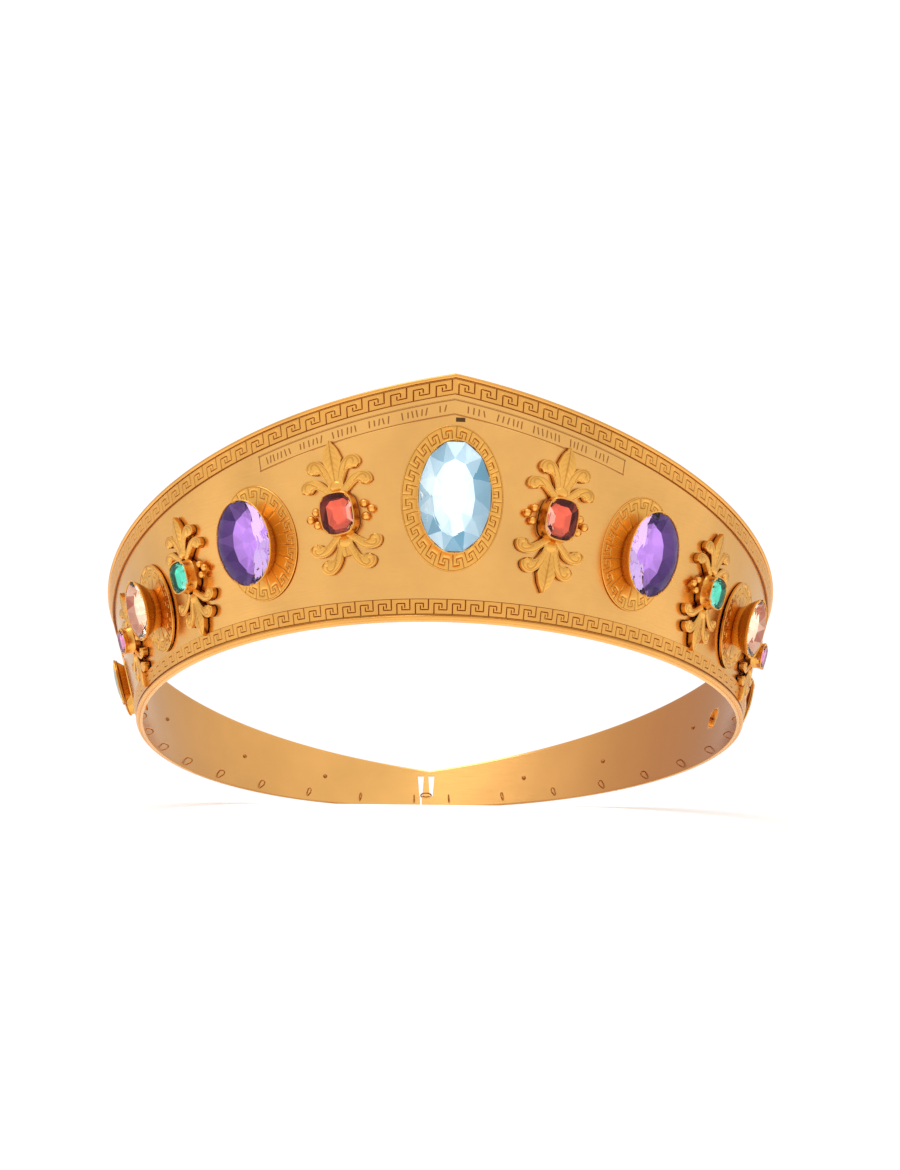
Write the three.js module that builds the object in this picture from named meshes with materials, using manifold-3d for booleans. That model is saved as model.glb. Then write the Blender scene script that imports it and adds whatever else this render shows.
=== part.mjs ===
// A gold tiara: one flared band of sheet gold, tall at the front and low at the back, with an
// applied border along each edge and a row of oval and lily-shaped settings that hold coloured
// stones. It stands on its lower edge. Millimetres, +Z up, the front faces -Y.
import * as THREE from 'three';
import { mergeVertices } from 'three/addons/utils/BufferGeometryUtils.js';
import Module from 'manifold-3d';

const wasm = await Module();
wasm.setup();

// The ring seen from above, an oval that is slightly egg-shaped and bent out of true
const HALF_WIDTH = 80;
const HALF_DEPTH = 88;
const EGG = -0.076;
const OUT_OF_TRUE = 0.0274;
const PEAK_PHASE = THREE.MathUtils.degToRad(2.3);

// The sheet
const SHEET = 0.8;
const FLARE = THREE.MathUtils.degToRad(14);
const FRONT_HEIGHT = 63;
const BACK_HEIGHT = 11.8;
const SIDE_SAG = 1.33;
const STATIONS = 54;
const SAMPLES = 1440;
const CUTTER_REACH = 6 * SHEET;
const WELD = 1e-5;

// The gap that touching pieces keep
const CLEAR = 0.3;

// The two applied borders: a rim at the edge and a flat strip beside it
const RIM_HEIGHT = 1.2;
const RIM_DEPTH = 0.85;
const RIM_CHAMFER = 0.2;
const STEP_WIDTH = 0.3;
const STRIP_HEIGHT = 3.6;
const STRIP_DEPTH = 0.62;
const LOWER_EDGE_SETBACK = 0.4;
const UPPER_EDGE_SETBACK = 0.1;
const FULL_BORDER_AT = 24;
const BORDER_END = 17;

// The settings: the lily plates clear the borders, and the oval flanges lie close to the sheet
const LILY_STANDOFF = RIM_DEPTH + CLEAR;
const OVAL_STANDOFF = CLEAR + 0.25;
const PLATE = 0.7;
const COLLET_WALL = 0.45;
const COLLET_LEAN = 0.2;
const BEZEL = 0.35;
const GIRDLE = 0.4;
const PEDESTAL_SHARE = 0.9;
const STUD_RADIUS = 1.4;
const STUD_RADIUS_OVER_HOLE = 3.4;
const CUP_FLOOR = 0.1;
const TABLE_SHARE = 0.7;
const CULET_WIDE_SHARE = 0.12;
const CULET_HIGH_SHARE = 0.3;
const CROWN_SLOPE = 0.16;
const LILY_WIDTH_SHARE = 0.53;
const LILY_SIDES = 8;
const PLAIN_SIDES = 6;
const FIRST_PLAIN_LILY = 6;
const TILT = THREE.MathUtils.degToRad(5.5);

// The closure at the back: two tapered windows, a seam under one, and a wire ring
const WINDOW_TOP = 1.75;
const WINDOW_FOOT = 0.85;
const WINDOW_LOW = 3.4;
const WINDOW_HIGH = 10.2;
const WINDOW_PITCH = 2.9;
const SEAM = 0.5;
const WIRE = 0.4;
const WIRE_SIDES = 4;
const RING_SIDES = 10;

// The oval opening in the sheet behind the turquoise at each side
const BACK_HOLE_WIDTH = 5;
const BACK_HOLE_HEIGHT = 5.6;
const BACK_HOLE_SIDES = 8;

const COLOURS = {
  aquamarine: 0xb9dbe6, garnet: 0xb4283c, amethyst: 0x7a4fae, emerald: 0x1f9468, topaz: 0xe3a98c,
  pink: 0xc77ba6, opal: 0xb9cdc4, turquoise: 0x4fb6cf, citrine: 0xd9a441,
};

// One row for each ornament from the centre outward. stone is width by height, girdle is how far
// the stone's edge stands off the sheet, rise is the centre's share of the sheet's height there,
// gap is the free way to the last ornament on the left and right. The gap before the opal takes up
// a longer or shorter ring, so that the ornaments behind it keep their places round the back.
const ORNAMENT_UNIT = 1;
const RING_AS_DRAWN = 528.6;
const CENTRE_ROW = { stone: [18.5, 28.4], rim: [3.8, 4.4], girdle: 6.4, rise: 0.495, sides: 18 };
const ORNAMENT_ROWS = [
  { name: 'garnet', stone: [8.4, 10.3], length: 38, girdle: 4.6, rise: 0.49, gap: [2.2, 1.6] },
  { name: 'amethyst', stone: [16.4, 21.9], rim: [3.4, 4.0], girdle: 6.4, rise: 0.465, gap: [1.0, 3.3],
    sides: 16 },
  { name: 'emerald', stone: [6.6, 7.7], length: 32.5, girdle: 4.4, rise: 0.455, gap: [4.2, 7.1] },
  { name: 'topaz', stone: [10.8, 15.5], rim: [3.2, 4.1], girdle: 6.2, rise: 0.42, gap: [1.9, 2.7],
    sides: 14 },
  { name: 'pink', stone: [5.4, 6.1], length: 27, girdle: 4.1, rise: 0.39, gap: [3.7, 1.3] },
  { name: 'opal', stone: [8, 12.4], rim: [2.2, 2.6], girdle: 2.9, rise: 0.5, gap: [25.4, 27.4],
    sides: 12, takesSlack: true },
  { name: 'turquoise', stone: [4.4, 5], length: 20, girdle: 3.8, rise: 0.45, gap: [0.8, 1], hole: true },
  { name: 'citrine', stone: [6.8, 9.4], rim: [2.1, 2.5], girdle: 4, rise: 0.48, gap: [1.2, 1.2],
    sides: 10 },
  { name: 'garnet_back', stone: [4, 4.6], length: 17.5, girdle: 3.8, rise: 0.49, gap: [1.2, 1.2] },
  { name: 'amethyst_back', stone: [5.6, 7.6], rim: [1.8, 2.1], girdle: 3.8, rise: 0.49,
    gap: [4, 4], sides: 8 },
  { name: 'emerald_back', stone: [3.2, 3.8], length: 14, girdle: 3.6, rise: 0.5, gap: [5, 5] },
  { name: 'topaz_back', stone: [4.4, 5.6], rim: [1.5, 1.8], girdle: 3.6, rise: 0.5, gap: [4, 4],
    sides: 8 },
  { name: 'pink_back', stone: [2.8, 3.2], length: 11, girdle: 3.5, rise: 0.51, gap: [4.5, 4.5] },
];

// A row with its sizes in millimetres
const sized = (row) => ({
  ...row,
  stone: row.stone.map((size) => size * ORNAMENT_UNIT),
  rim: row.rim?.map((size) => size * ORNAMENT_UNIT),
  gap: row.gap?.map((size) => size * ORNAMENT_UNIT),
  length: row.length && row.length * ORNAMENT_UNIT,
  girdle: row.girdle * ORNAMENT_UNIT,
});
const CENTRE = sized(CENTRE_ROW);
const ORNAMENTS = ORNAMENT_ROWS.map(sized);

const gold = (shade) => new THREE.MeshStandardMaterial({ color: shade, roughness: 0.34, metalness: 1 });
const GOLD_SHADE = 0xd9a257;
const MOUNT_SHADE = 0xcf9038;
const gem = (stoneName) => new THREE.MeshStandardMaterial({
  color: COLOURS[stoneName.replace('_back', '')],
  roughness: 0.08,
  metalness: 0,
});

// Plan of the ring

const ovalPoint = (t) => new THREE.Vector2(
  HALF_WIDTH * (Math.sin(t) + EGG * Math.sin(t) * Math.cos(t)),
  -HALF_DEPTH * Math.cos(t) + HALF_WIDTH * OUT_OF_TRUE * Math.sin(2 * t),
);
const peakPoint = ovalPoint(PEAK_PHASE);
const notchPoint = ovalPoint(PEAK_PHASE + Math.PI);
const peakAxis = peakPoint.clone().sub(notchPoint);
const turnToFront = -Math.atan2(peakAxis.x, -peakAxis.y);

// A point of the plan at angle a from the peak, turned so that the peak is straight in front
const planPoint = (a) => ovalPoint(a + PEAK_PHASE).rotateAround(new THREE.Vector2(), turnToFront);

const arcTable = [0];
for (let i = 1; i <= SAMPLES; i += 1) {
  const before = planPoint(-Math.PI + (2 * Math.PI * (i - 1)) / SAMPLES);
  const here = planPoint(-Math.PI + (2 * Math.PI * i) / SAMPLES);
  arcTable.push(arcTable[i - 1] + here.distanceTo(before));
}
const RING_LENGTH = arcTable[SAMPLES];
const ARC_AT_PEAK = arcTable[SAMPLES / 2];

// The angle at a way along the lower edge, measured from the peak and positive to the right
function angleAtArc(arc) {
  const along = THREE.MathUtils.euclideanModulo(arc + ARC_AT_PEAK, RING_LENGTH);
  let low = 0;
  let high = SAMPLES;
  while (high - low > 1) {
    const middle = (low + high) >> 1;
    if (arcTable[middle] <= along) low = middle;
    else high = middle;
  }
  const share = (along - arcTable[low]) / (arcTable[high] - arcTable[low]);
  return -Math.PI + (2 * Math.PI * (low + share)) / SAMPLES;
}

function heightAtAngle(angle) {
  const away = Math.abs(angle);
  return FRONT_HEIGHT + (BACK_HEIGHT - FRONT_HEIGHT) * (away / Math.PI) - SIDE_SAG * Math.sin(away);
}
const heightAtArc = (arc) => heightAtAngle(angleAtArc(arc));

// The directions at a way along the lower edge: across to the right, up the sheet, and outward
function frameAtArc(arc) {
  const step = Math.PI / SAMPLES;
  const angle = angleAtArc(arc);
  const foot = planPoint(angle);
  const along = planPoint(angle + step).sub(planPoint(angle - step)).normalize();
  const across = new THREE.Vector3(along.x, along.y, 0);
  const level = new THREE.Vector3(along.y, -along.x, 0);
  const up = level.clone().multiplyScalar(Math.sin(FLARE));
  up.z = Math.cos(FLARE);
  const outward = level.clone().multiplyScalar(Math.cos(FLARE));
  outward.z = -Math.sin(FLARE);
  return { foot: new THREE.Vector3(foot.x, foot.y, 0), across, level, up, outward };
}

function surfacePoint(arc, rise, off) {
  const { foot, up, outward } = frameAtArc(arc);
  return foot.addScaledVector(up, rise).addScaledVector(outward, off);
}

// Solids from rings of points

function geometryFrom(points, triangles) {
  const geometry = new THREE.BufferGeometry();
  const numbers = points.flatMap((point) => point.toArray());
  geometry.setAttribute('position', new THREE.Float32BufferAttribute(numbers, 3));
  geometry.setIndex(triangles.flat());
  return geometry;
}

// Joins rings of equally many points, first to last, as a loop or with a flat fan at each end
function loft(rings, looped) {
  const count = rings[0].length;
  const triangles = [];
  const joints = looped ? rings.length : rings.length - 1;
  for (let r = 0; r < joints; r += 1) {
    const here = r * count;
    const next = ((r + 1) % rings.length) * count;
    for (let i = 0; i < count; i += 1) {
      const j = (i + 1) % count;
      triangles.push([here + i, here + j, next + j], [here + i, next + j, next + i]);
    }
  }
  if (!looped) {
    const last = (rings.length - 1) * count;
    for (let i = 1; i < count - 1; i += 1) {
      triangles.push([0, i + 1, i], [last, last + i, last + i + 1]);
    }
  }
  return geometryFrom(rings.flat(), triangles);
}

function solidOf(geometry) {
  const bare = new THREE.BufferGeometry();
  bare.setAttribute('position', geometry.getAttribute('position').clone());
  if (geometry.index) bare.setIndex(geometry.index.clone());
  const merged = mergeVertices(bare, WELD);
  return new wasm.Manifold(new wasm.Mesh({
    numProp: 3,
    vertProperties: new Float32Array(merged.getAttribute('position').array),
    triVerts: new Uint32Array(merged.index.array),
  }));
}

function geometryOf(solid) {
  const mesh = solid.getMesh();
  const geometry = new THREE.BufferGeometry();
  geometry.setAttribute('position', new THREE.BufferAttribute(mesh.vertProperties, 3));
  geometry.setIndex(new THREE.BufferAttribute(mesh.triVerts, 1));
  return geometry;
}

// The matrix that puts a piece drawn flat (x across, y up the sheet, z outward) on the sheet
function seatMatrix(arc, rise, tilt) {
  const { across, up, outward } = frameAtArc(arc);
  const leaningUp = up.clone().multiplyScalar(Math.cos(tilt)).addScaledVector(across, Math.sin(tilt));
  const leaningAcross = across.clone().multiplyScalar(Math.cos(tilt)).addScaledVector(up, -Math.sin(tilt));
  return new THREE.Matrix4()
    .makeBasis(leaningAcross, leaningUp, outward)
    .setPosition(surfacePoint(arc, rise, 0));
}

// The band

const stationArcs = Array.from({ length: STATIONS }, (_, i) => (RING_LENGTH * i) / STATIONS);

function sheetSection(arc) {
  const { foot, up, level } = frameAtArc(arc);
  const top = foot.clone().addScaledVector(up, heightAtArc(arc));
  const innerTop = top.clone().addScaledVector(level, -SHEET);
  const innerFoot = foot.clone().addScaledVector(level, -SHEET);
  return [innerFoot, innerTop, top, foot];
}

// A flat outline pushed right through the sheet at a way along it
function cutter(shape, arc, rise) {
  const tool = new THREE.ExtrudeGeometry(shape, { depth: CUTTER_REACH, bevelEnabled: false });
  tool.translate(0, 0, -CUTTER_REACH / 2);
  return solidOf(tool.applyMatrix4(seatMatrix(arc, rise, 0)));
}

const outlineShape = (pairs) => new THREE.Shape(pairs.map(([x, y]) => new THREE.Vector2(x, y)));

function windowShape() {
  return outlineShape([
    [-WINDOW_FOOT / 2, WINDOW_LOW], [WINDOW_FOOT / 2, WINDOW_LOW],
    [WINDOW_TOP / 2, WINDOW_HIGH], [-WINDOW_TOP / 2, WINDOW_HIGH],
  ]);
}

function seamShape() {
  const below = -SHEET;
  return outlineShape([
    [-SEAM / 2, below], [SEAM / 2, below], [SEAM / 2, WINDOW_LOW + SEAM], [-SEAM / 2, WINDOW_LOW + SEAM],
  ]);
}

function ovalShape(width, height, sides) {
  const points = [];
  for (let i = 0; i < sides; i += 1) {
    const turn = (2 * Math.PI * i) / sides;
    points.push([(width / 2) * Math.cos(turn), (height / 2) * Math.sin(turn)]);
  }
  return outlineShape(points);
}

function bandGeometry(holes) {
  let band = solidOf(loft(stationArcs.map(sheetSection), true));
  const back = RING_LENGTH / 2;
  band = band
    .subtract(cutter(windowShape(), back, 0))
    .subtract(cutter(windowShape(), back - WINDOW_PITCH, 0))
    .subtract(cutter(seamShape(), back, 0));
  for (const { arc, rise } of holes) {
    band = band.subtract(cutter(ovalShape(BACK_HOLE_WIDTH, BACK_HOLE_HEIGHT, BACK_HOLE_SIDES), arc, rise));
  }
  return geometryOf(band);
}

// The borders

// Section of a border as [way in from the sheet's edge, way off the sheet] pairs
function borderSection(scale) {
  const rimEnd = RIM_HEIGHT * scale;
  const stripStart = rimEnd + STEP_WIDTH;
  const stripEnd = stripStart + STRIP_HEIGHT * scale;
  return [
    [0, CLEAR], [0, RIM_DEPTH - RIM_CHAMFER], [RIM_CHAMFER, RIM_DEPTH], [rimEnd, RIM_DEPTH],
    [stripStart, STRIP_DEPTH], [stripEnd, STRIP_DEPTH], [stripEnd, CLEAR],
  ];
}

// The borders run on the sheet's own stations, so that they keep the same gap to it all the way
function borderGeometry(isUpper) {
  const reach = RING_LENGTH / 2 - BORDER_END;
  const inner = stationArcs
    .map((arc) => (arc > RING_LENGTH / 2 ? arc - RING_LENGTH : arc))
    .filter((arc) => Math.abs(arc) < reach)
    .sort((a, b) => a - b);
  const rings = inner.map((arc) => {
    const height = heightAtArc(arc);
    const section = borderSection(Math.min(1, height / FULL_BORDER_AT));
    const ring = section.map(([way, off]) => surfacePoint(
      arc,
      isUpper ? height - UPPER_EDGE_SETBACK - way : LOWER_EDGE_SETBACK + way,
      off,
    ));
    return isUpper ? ring : ring.reverse();
  });
  return loft(rings, false);
}

// Stones and settings, drawn flat: x across, y up the sheet, z outward

function ovalRing(halfWidth, halfHeight, level, sides) {
  const ring = [];
  for (let i = 0; i < sides; i += 1) {
    const turn = (2 * Math.PI * (i + 0.5)) / sides;
    ring.push(new THREE.Vector3(halfWidth * Math.cos(turn), halfHeight * Math.sin(turn), level));
  }
  return ring;
}

// The level of a cup's floor, which lies a little above the plate that the cup stands on
const standoffOf = (row) => (row.length ? LILY_STANDOFF : OVAL_STANDOFF);
const floorOf = (row) => standoffOf(row) + PLATE + CUP_FLOOR;

// A faceted stone: a small flat culet, pavilion, girdle, crown and table
function stoneGeometry(row, sides) {
  const [halfWidth, halfHeight] = row.stone.map((size) => size / 2);
  const low = row.girdle - GIRDLE / 2;
  const high = row.girdle + GIRDLE / 2;
  const culet = floorOf(row) + CLEAR;
  const tableLevel = high + (row.stone[0] / 2) * CROWN_SLOPE;
  return loft([
    ovalRing(halfWidth * CULET_WIDE_SHARE, halfHeight * CULET_HIGH_SHARE, culet, sides),
    ovalRing(halfWidth, halfHeight, low, sides),
    ovalRing(halfWidth, halfHeight, high, sides),
    ovalRing(halfWidth * TABLE_SHARE, halfHeight * TABLE_SHARE, tableLevel, sides),
  ], false);
}

// The deep cup that holds a stone, from the seat of the cup upward and back down inside it. It draws
// in towards its seat.
function cupRings(row, sides, seatLevel) {
  const [halfWidth, halfHeight] = row.stone.map((size) => size / 2);
  const bezel = row.girdle + BEZEL;
  const wide = CLEAR + COLLET_WALL;
  const base = wide - COLLET_LEAN * (bezel - seatLevel);
  return [
    ovalRing(halfWidth + base, halfHeight + base, seatLevel, sides),
    ovalRing(halfWidth + wide, halfHeight + wide, bezel, sides),
    ovalRing(halfWidth + CLEAR, halfHeight + CLEAR, bezel, sides),
    ovalRing(halfWidth + CLEAR, halfHeight + CLEAR, row.girdle - GIRDLE, sides),
    ovalRing(
      halfWidth * CULET_WIDE_SHARE + CLEAR,
      halfHeight * CULET_HIGH_SHARE + CLEAR,
      floorOf(row),
      sides,
    ),
  ];
}

function ovalSettingGeometry(row) {
  const { sides } = row;
  const [halfWidth, halfHeight] = row.stone.map((size) => size / 2);
  const [flangeWide, flangeHigh] = [halfWidth + row.rim[0], halfHeight + row.rim[1]];
  const [footWide, footHigh] = [halfWidth * PEDESTAL_SHARE, halfHeight * PEDESTAL_SHARE];
  const top = OVAL_STANDOFF + PLATE;
  return loft([
    ovalRing(footWide, footHigh, CLEAR, sides),
    ovalRing(footWide, footHigh, OVAL_STANDOFF, sides),
    ovalRing(flangeWide, flangeHigh, OVAL_STANDOFF, sides),
    ovalRing(flangeWide, flangeHigh, top, sides),
    ...cupRings(row, sides, top),
  ], false);
}

// One quarter of the lily mount's outline, from the tip of the middle leaf round the curled leaves
// to the waist, in shares of half the mount's length
const LILY_QUARTER = [
  [0, 1], [0.14, 0.78], [0.13, 0.62], [0.2, 0.75], [0.31, 0.8], [0.41, 0.7], [0.36, 0.57],
  [0.48, 0.54], [0.53, 0.44], [0.44, 0.3], [0.3, 0.29], [0.28, 0.14],
];
const PLAIN_QUARTER = [
  [0, 1], [0.14, 0.78], [0.12, 0.62], [0.3, 0.8], [0.42, 0.68], [0.53, 0.46], [0.44, 0.3], [0.28, 0.16],
];
// What is left of a middle leaf that has broken off short
const BROKEN_LEAF = [[-0.13, -0.6], [-0.06, -0.5], [0.02, -0.57], [0.08, -0.49], [0.13, -0.6]];

function lilyOutline(length, quarter, broken) {
  const half = length / 2;
  const upperRight = quarter;
  const lowerRight = quarter.map(([x, y]) => [x, -y]).reverse();
  const lowerLeft = quarter.slice(1).map(([x, y]) => [-x, -y]);
  const upperLeft = quarter.slice(1).map(([x, y]) => [-x, y]).reverse();
  const leaf = BROKEN_LEAF.toReversed();
  const round = broken
    ? [...upperRight, ...lowerRight.slice(0, -3), ...leaf, ...lowerLeft.slice(2), ...upperLeft]
    : [...upperRight, ...lowerRight, ...lowerLeft, ...upperLeft];
  return outlineShape(round.map(([x, y]) => [x * half, y * half]).reverse());
}

function lilyMountGeometry(row, isPlain, isBroken) {
  const quarter = isPlain ? PLAIN_QUARTER : LILY_QUARTER;
  const shape = lilyOutline(row.length, quarter, isBroken);
  const plate = new THREE.ExtrudeGeometry(shape, { depth: PLATE, bevelEnabled: false });
  plate.translate(0, 0, LILY_STANDOFF);
  const inPlate = LILY_STANDOFF + PLATE / 2;
  const sides = isPlain ? PLAIN_SIDES : LILY_SIDES;
  const stud = row.hole ? STUD_RADIUS_OVER_HOLE : STUD_RADIUS;
  const cup = loft([
    ovalRing(stud, stud, CLEAR, sides),
    ovalRing(stud, stud, inPlate, sides),
    ...cupRings(row, sides, inPlate),
  ], false);
  return geometryOf(solidOf(plate).add(solidOf(cup)));
}

// A stone has the sides of its cup, so that it keeps the same gap to it all round
function stoneSides(row, isPlain) {
  if (row.sides) return row.sides;
  return isPlain ? PLAIN_SIDES : LILY_SIDES;
}

// Putting it together

const tiara = new THREE.Group();
tiara.name = 'tiara';

function addPiece(name, geometry, material, matrix) {
  const mesh = new THREE.Mesh(geometry, material);
  mesh.name = name;
  if (matrix) matrix.decompose(mesh.position, mesh.quaternion, mesh.scale);
  mesh.geometry.computeVertexNormals();
  tiara.add(mesh);
}

const goldSheet = gold(GOLD_SHADE);
const goldMount = gold(MOUNT_SHADE);

const centreMatrix = seatMatrix(0, CENTRE.rise * heightAtArc(0), 0);
addPiece('aquamarine_setting', ovalSettingGeometry(CENTRE), goldMount, centreMatrix);
addPiece('aquamarine', stoneGeometry(CENTRE, CENTRE.sides), gem('aquamarine'), centreMatrix);

const halfWidthOf = (row) => (
  row.length ? (row.length * LILY_WIDTH_SHARE) / 2 : row.stone[0] / 2 + row.rim[0]
);
const backHoles = [];

for (const [sideIndex, side] of [[0, 'left'], [1, 'right']]) {
  const sign = side === 'left' ? -1 : 1;
  let edge = halfWidthOf(CENTRE);
  ORNAMENTS.forEach((row, index) => {
    const slack = row.takesSlack ? (RING_LENGTH - RING_AS_DRAWN) / 2 : 0;
    const arc = sign * (edge + row.gap[sideIndex] + slack + halfWidthOf(row));
    edge = Math.abs(arc) + halfWidthOf(row);
    const rise = row.rise * heightAtArc(arc);
    const matrix = seatMatrix(arc, rise, sign * TILT);
    const isLily = Boolean(row.length);
    const isPlain = index >= FIRST_PLAIN_LILY;
    const isBroken = row.name === 'garnet' && side === 'left';
    const mount = isLily
      ? lilyMountGeometry(row, isPlain, isBroken)
      : ovalSettingGeometry(row);
    addPiece(`${row.name}_${isLily ? 'mount' : 'setting'}_${side}`, mount, goldMount, matrix);
    addPiece(`${row.name}_${side}`, stoneGeometry(row, stoneSides(row, isPlain)), gem(row.name), matrix);
    if (row.hole) backHoles.push({ arc, rise });
  });
}

addPiece('band', bandGeometry(backHoles), goldSheet);
addPiece('upper_border', borderGeometry(true), goldSheet);
addPiece('lower_border', borderGeometry(false), goldSheet);

// The wire ring lies level through both windows, round the bar between them
const ringRadius = WINDOW_PITCH / 2;
const wireRing = new THREE.TorusGeometry(ringRadius, WIRE / 2, WIRE_SIDES, RING_SIDES).rotateX(Math.PI / 2);
const ringRise = WINDOW_LOW + WIRE;
const ringSeat = seatMatrix(RING_LENGTH / 2 - WINDOW_PITCH / 2, ringRise, 0)
  .multiply(new THREE.Matrix4().makeTranslation(0, 0, -SHEET / 2));
addPiece('closure_ring', geometryOf(solidOf(wireRing)), goldSheet, ringSeat);

// The origin is under the middle of the tiara's box, on the plane that it stands on
const box = new THREE.Box3().setFromObject(tiara, true);
tiara.position.set(-(box.min.x + box.max.x) / 2, -(box.min.y + box.max.y) / 2, -box.min.z);
tiara.updateMatrixWorld(true);

export default tiara;
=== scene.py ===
"""The dressed model of a gold tiara: smooth sheet, meander borders, relief mounts and cut stones.

Every piece is made in millimetres on the same ring that the solids stand on, and is then put in
metres into the shared frame.
"""
import logging
import math
from dataclasses import dataclass, field
from enum import Enum

import bmesh
import bpy
import numpy as np
from mathutils import Matrix, Vector


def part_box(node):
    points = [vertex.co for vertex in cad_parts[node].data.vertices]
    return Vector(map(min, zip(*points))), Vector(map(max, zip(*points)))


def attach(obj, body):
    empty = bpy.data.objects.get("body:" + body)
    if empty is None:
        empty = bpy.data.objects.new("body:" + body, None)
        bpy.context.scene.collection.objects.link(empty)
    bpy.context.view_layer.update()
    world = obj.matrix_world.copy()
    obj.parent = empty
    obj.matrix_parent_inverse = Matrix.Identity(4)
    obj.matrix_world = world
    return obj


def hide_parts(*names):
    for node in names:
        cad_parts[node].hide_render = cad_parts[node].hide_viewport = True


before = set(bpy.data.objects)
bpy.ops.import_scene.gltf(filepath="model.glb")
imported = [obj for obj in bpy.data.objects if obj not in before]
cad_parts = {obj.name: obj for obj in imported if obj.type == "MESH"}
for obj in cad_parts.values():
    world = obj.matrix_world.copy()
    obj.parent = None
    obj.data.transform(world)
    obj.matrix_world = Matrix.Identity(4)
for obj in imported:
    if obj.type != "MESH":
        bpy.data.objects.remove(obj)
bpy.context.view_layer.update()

logging.basicConfig(level=logging.INFO, format="%(message)s")
LOG = logging.getLogger("tiara")

METRES = 0.001
SAME_PLACE = 2e-6
BODY = "root"
Array = np.ndarray


class Side(Enum):
    """The two sides of the tiara as the viewer in front of it sees them."""

    LEFT = -1
    RIGHT = 1

    @property
    def word(self) -> str:
        """The side's word in a piece's name."""
        return self.name.lower()


class Cut(Enum):
    """How a stone is cut."""

    BRILLIANT = "brilliant"
    STEP = "step"
    CABOCHON = "cabochon"


@dataclass(frozen=True)
class GoldFinish:
    """Gold with fine scratches and a darker, redder tone: patina in cut lines, and painted shade under
    and between parts, in grooves and inside cups.

    Attributes:
        name: the material's name.
        slot: the record's material slot; not used.
        colour: the worn, bright gold, linear.
        deep: the tone of patina in cut lines and of painted shade under and between parts, linear.
        roughness: lowest and highest roughness.
        brushing: stretch of the scratches along x, y and z.
        bump: strength of the scratches.
    """

    name: str
    slot: str
    colour: tuple[float, float, float]
    deep: tuple[float, float, float]
    roughness: tuple[float, float] = (0.2, 0.34)
    brushing: tuple[float, float, float] = (1.0, 1.0, 1.0)
    bump: float = 0.08

    def material(self) -> bpy.types.Material:
        """Makes the material once and gives it back.

        Returns:
            The material.
        """
        made = bpy.data.materials.get(f"{self.name}_finish")
        if made:
            return made
        made = bpy.data.materials.new(f"{self.name}_finish")
        made.use_nodes = True
        nodes, links = made.node_tree.nodes, made.node_tree.links
        shader = nodes["Principled BSDF"]
        shader.inputs["Metallic"].default_value = 1.0
        place = nodes.new("ShaderNodeTexCoord")
        stretch = nodes.new("ShaderNodeMapping")
        stretch.inputs["Scale"].default_value = self.brushing
        links.new(place.outputs["Object"], stretch.inputs["Vector"])
        cloud = nodes.new("ShaderNodeTexNoise")
        cloud.inputs["Scale"].default_value = 55.0
        cloud.inputs["Detail"].default_value = 4.0
        links.new(place.outputs["Object"], cloud.inputs["Vector"])
        scratch = nodes.new("ShaderNodeTexNoise")
        scratch.inputs["Scale"].default_value = 900.0
        scratch.inputs["Detail"].default_value = 5.0
        links.new(stretch.outputs["Vector"], scratch.inputs["Vector"])
        tone = nodes.new("ShaderNodeValToRGB")
        tone.color_ramp.elements[0].position = 0.3
        tone.color_ramp.elements[0].color = (*[c * 0.85 for c in self.colour], 1)
        tone.color_ramp.elements[1].position = 0.7
        tone.color_ramp.elements[1].color = (*self.colour, 1)
        links.new(cloud.outputs["Fac"], tone.inputs["Fac"])
        # The mark darkens the gold towards deep: patina in cut lines, painted shade under and between
        # parts.
        patina_and_shade = nodes.new("ShaderNodeAttribute")
        patina_and_shade.attribute_name = "patina_and_shade"
        mixing = nodes.new("ShaderNodeMix")
        mixing.data_type = "RGBA"
        mixing.inputs[7].default_value = (*self.deep, 1)
        links.new(patina_and_shade.outputs["Fac"], mixing.inputs[0])
        links.new(tone.outputs["Color"], mixing.inputs[6])
        links.new(mixing.outputs[2], shader.inputs["Base Color"])
        span = nodes.new("ShaderNodeMapRange")
        span.inputs["To Min"].default_value = self.roughness[0]
        span.inputs["To Max"].default_value = self.roughness[1]
        links.new(scratch.outputs["Fac"], span.inputs["Value"])
        links.new(span.outputs["Result"], shader.inputs["Roughness"])
        bump = nodes.new("ShaderNodeBump")
        bump.inputs["Strength"].default_value = self.bump
        bump.inputs["Distance"].default_value = 0.00004
        links.new(scratch.outputs["Fac"], bump.inputs["Height"])
        links.new(bump.outputs["Normal"], shader.inputs["Normal"])
        return made


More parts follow.
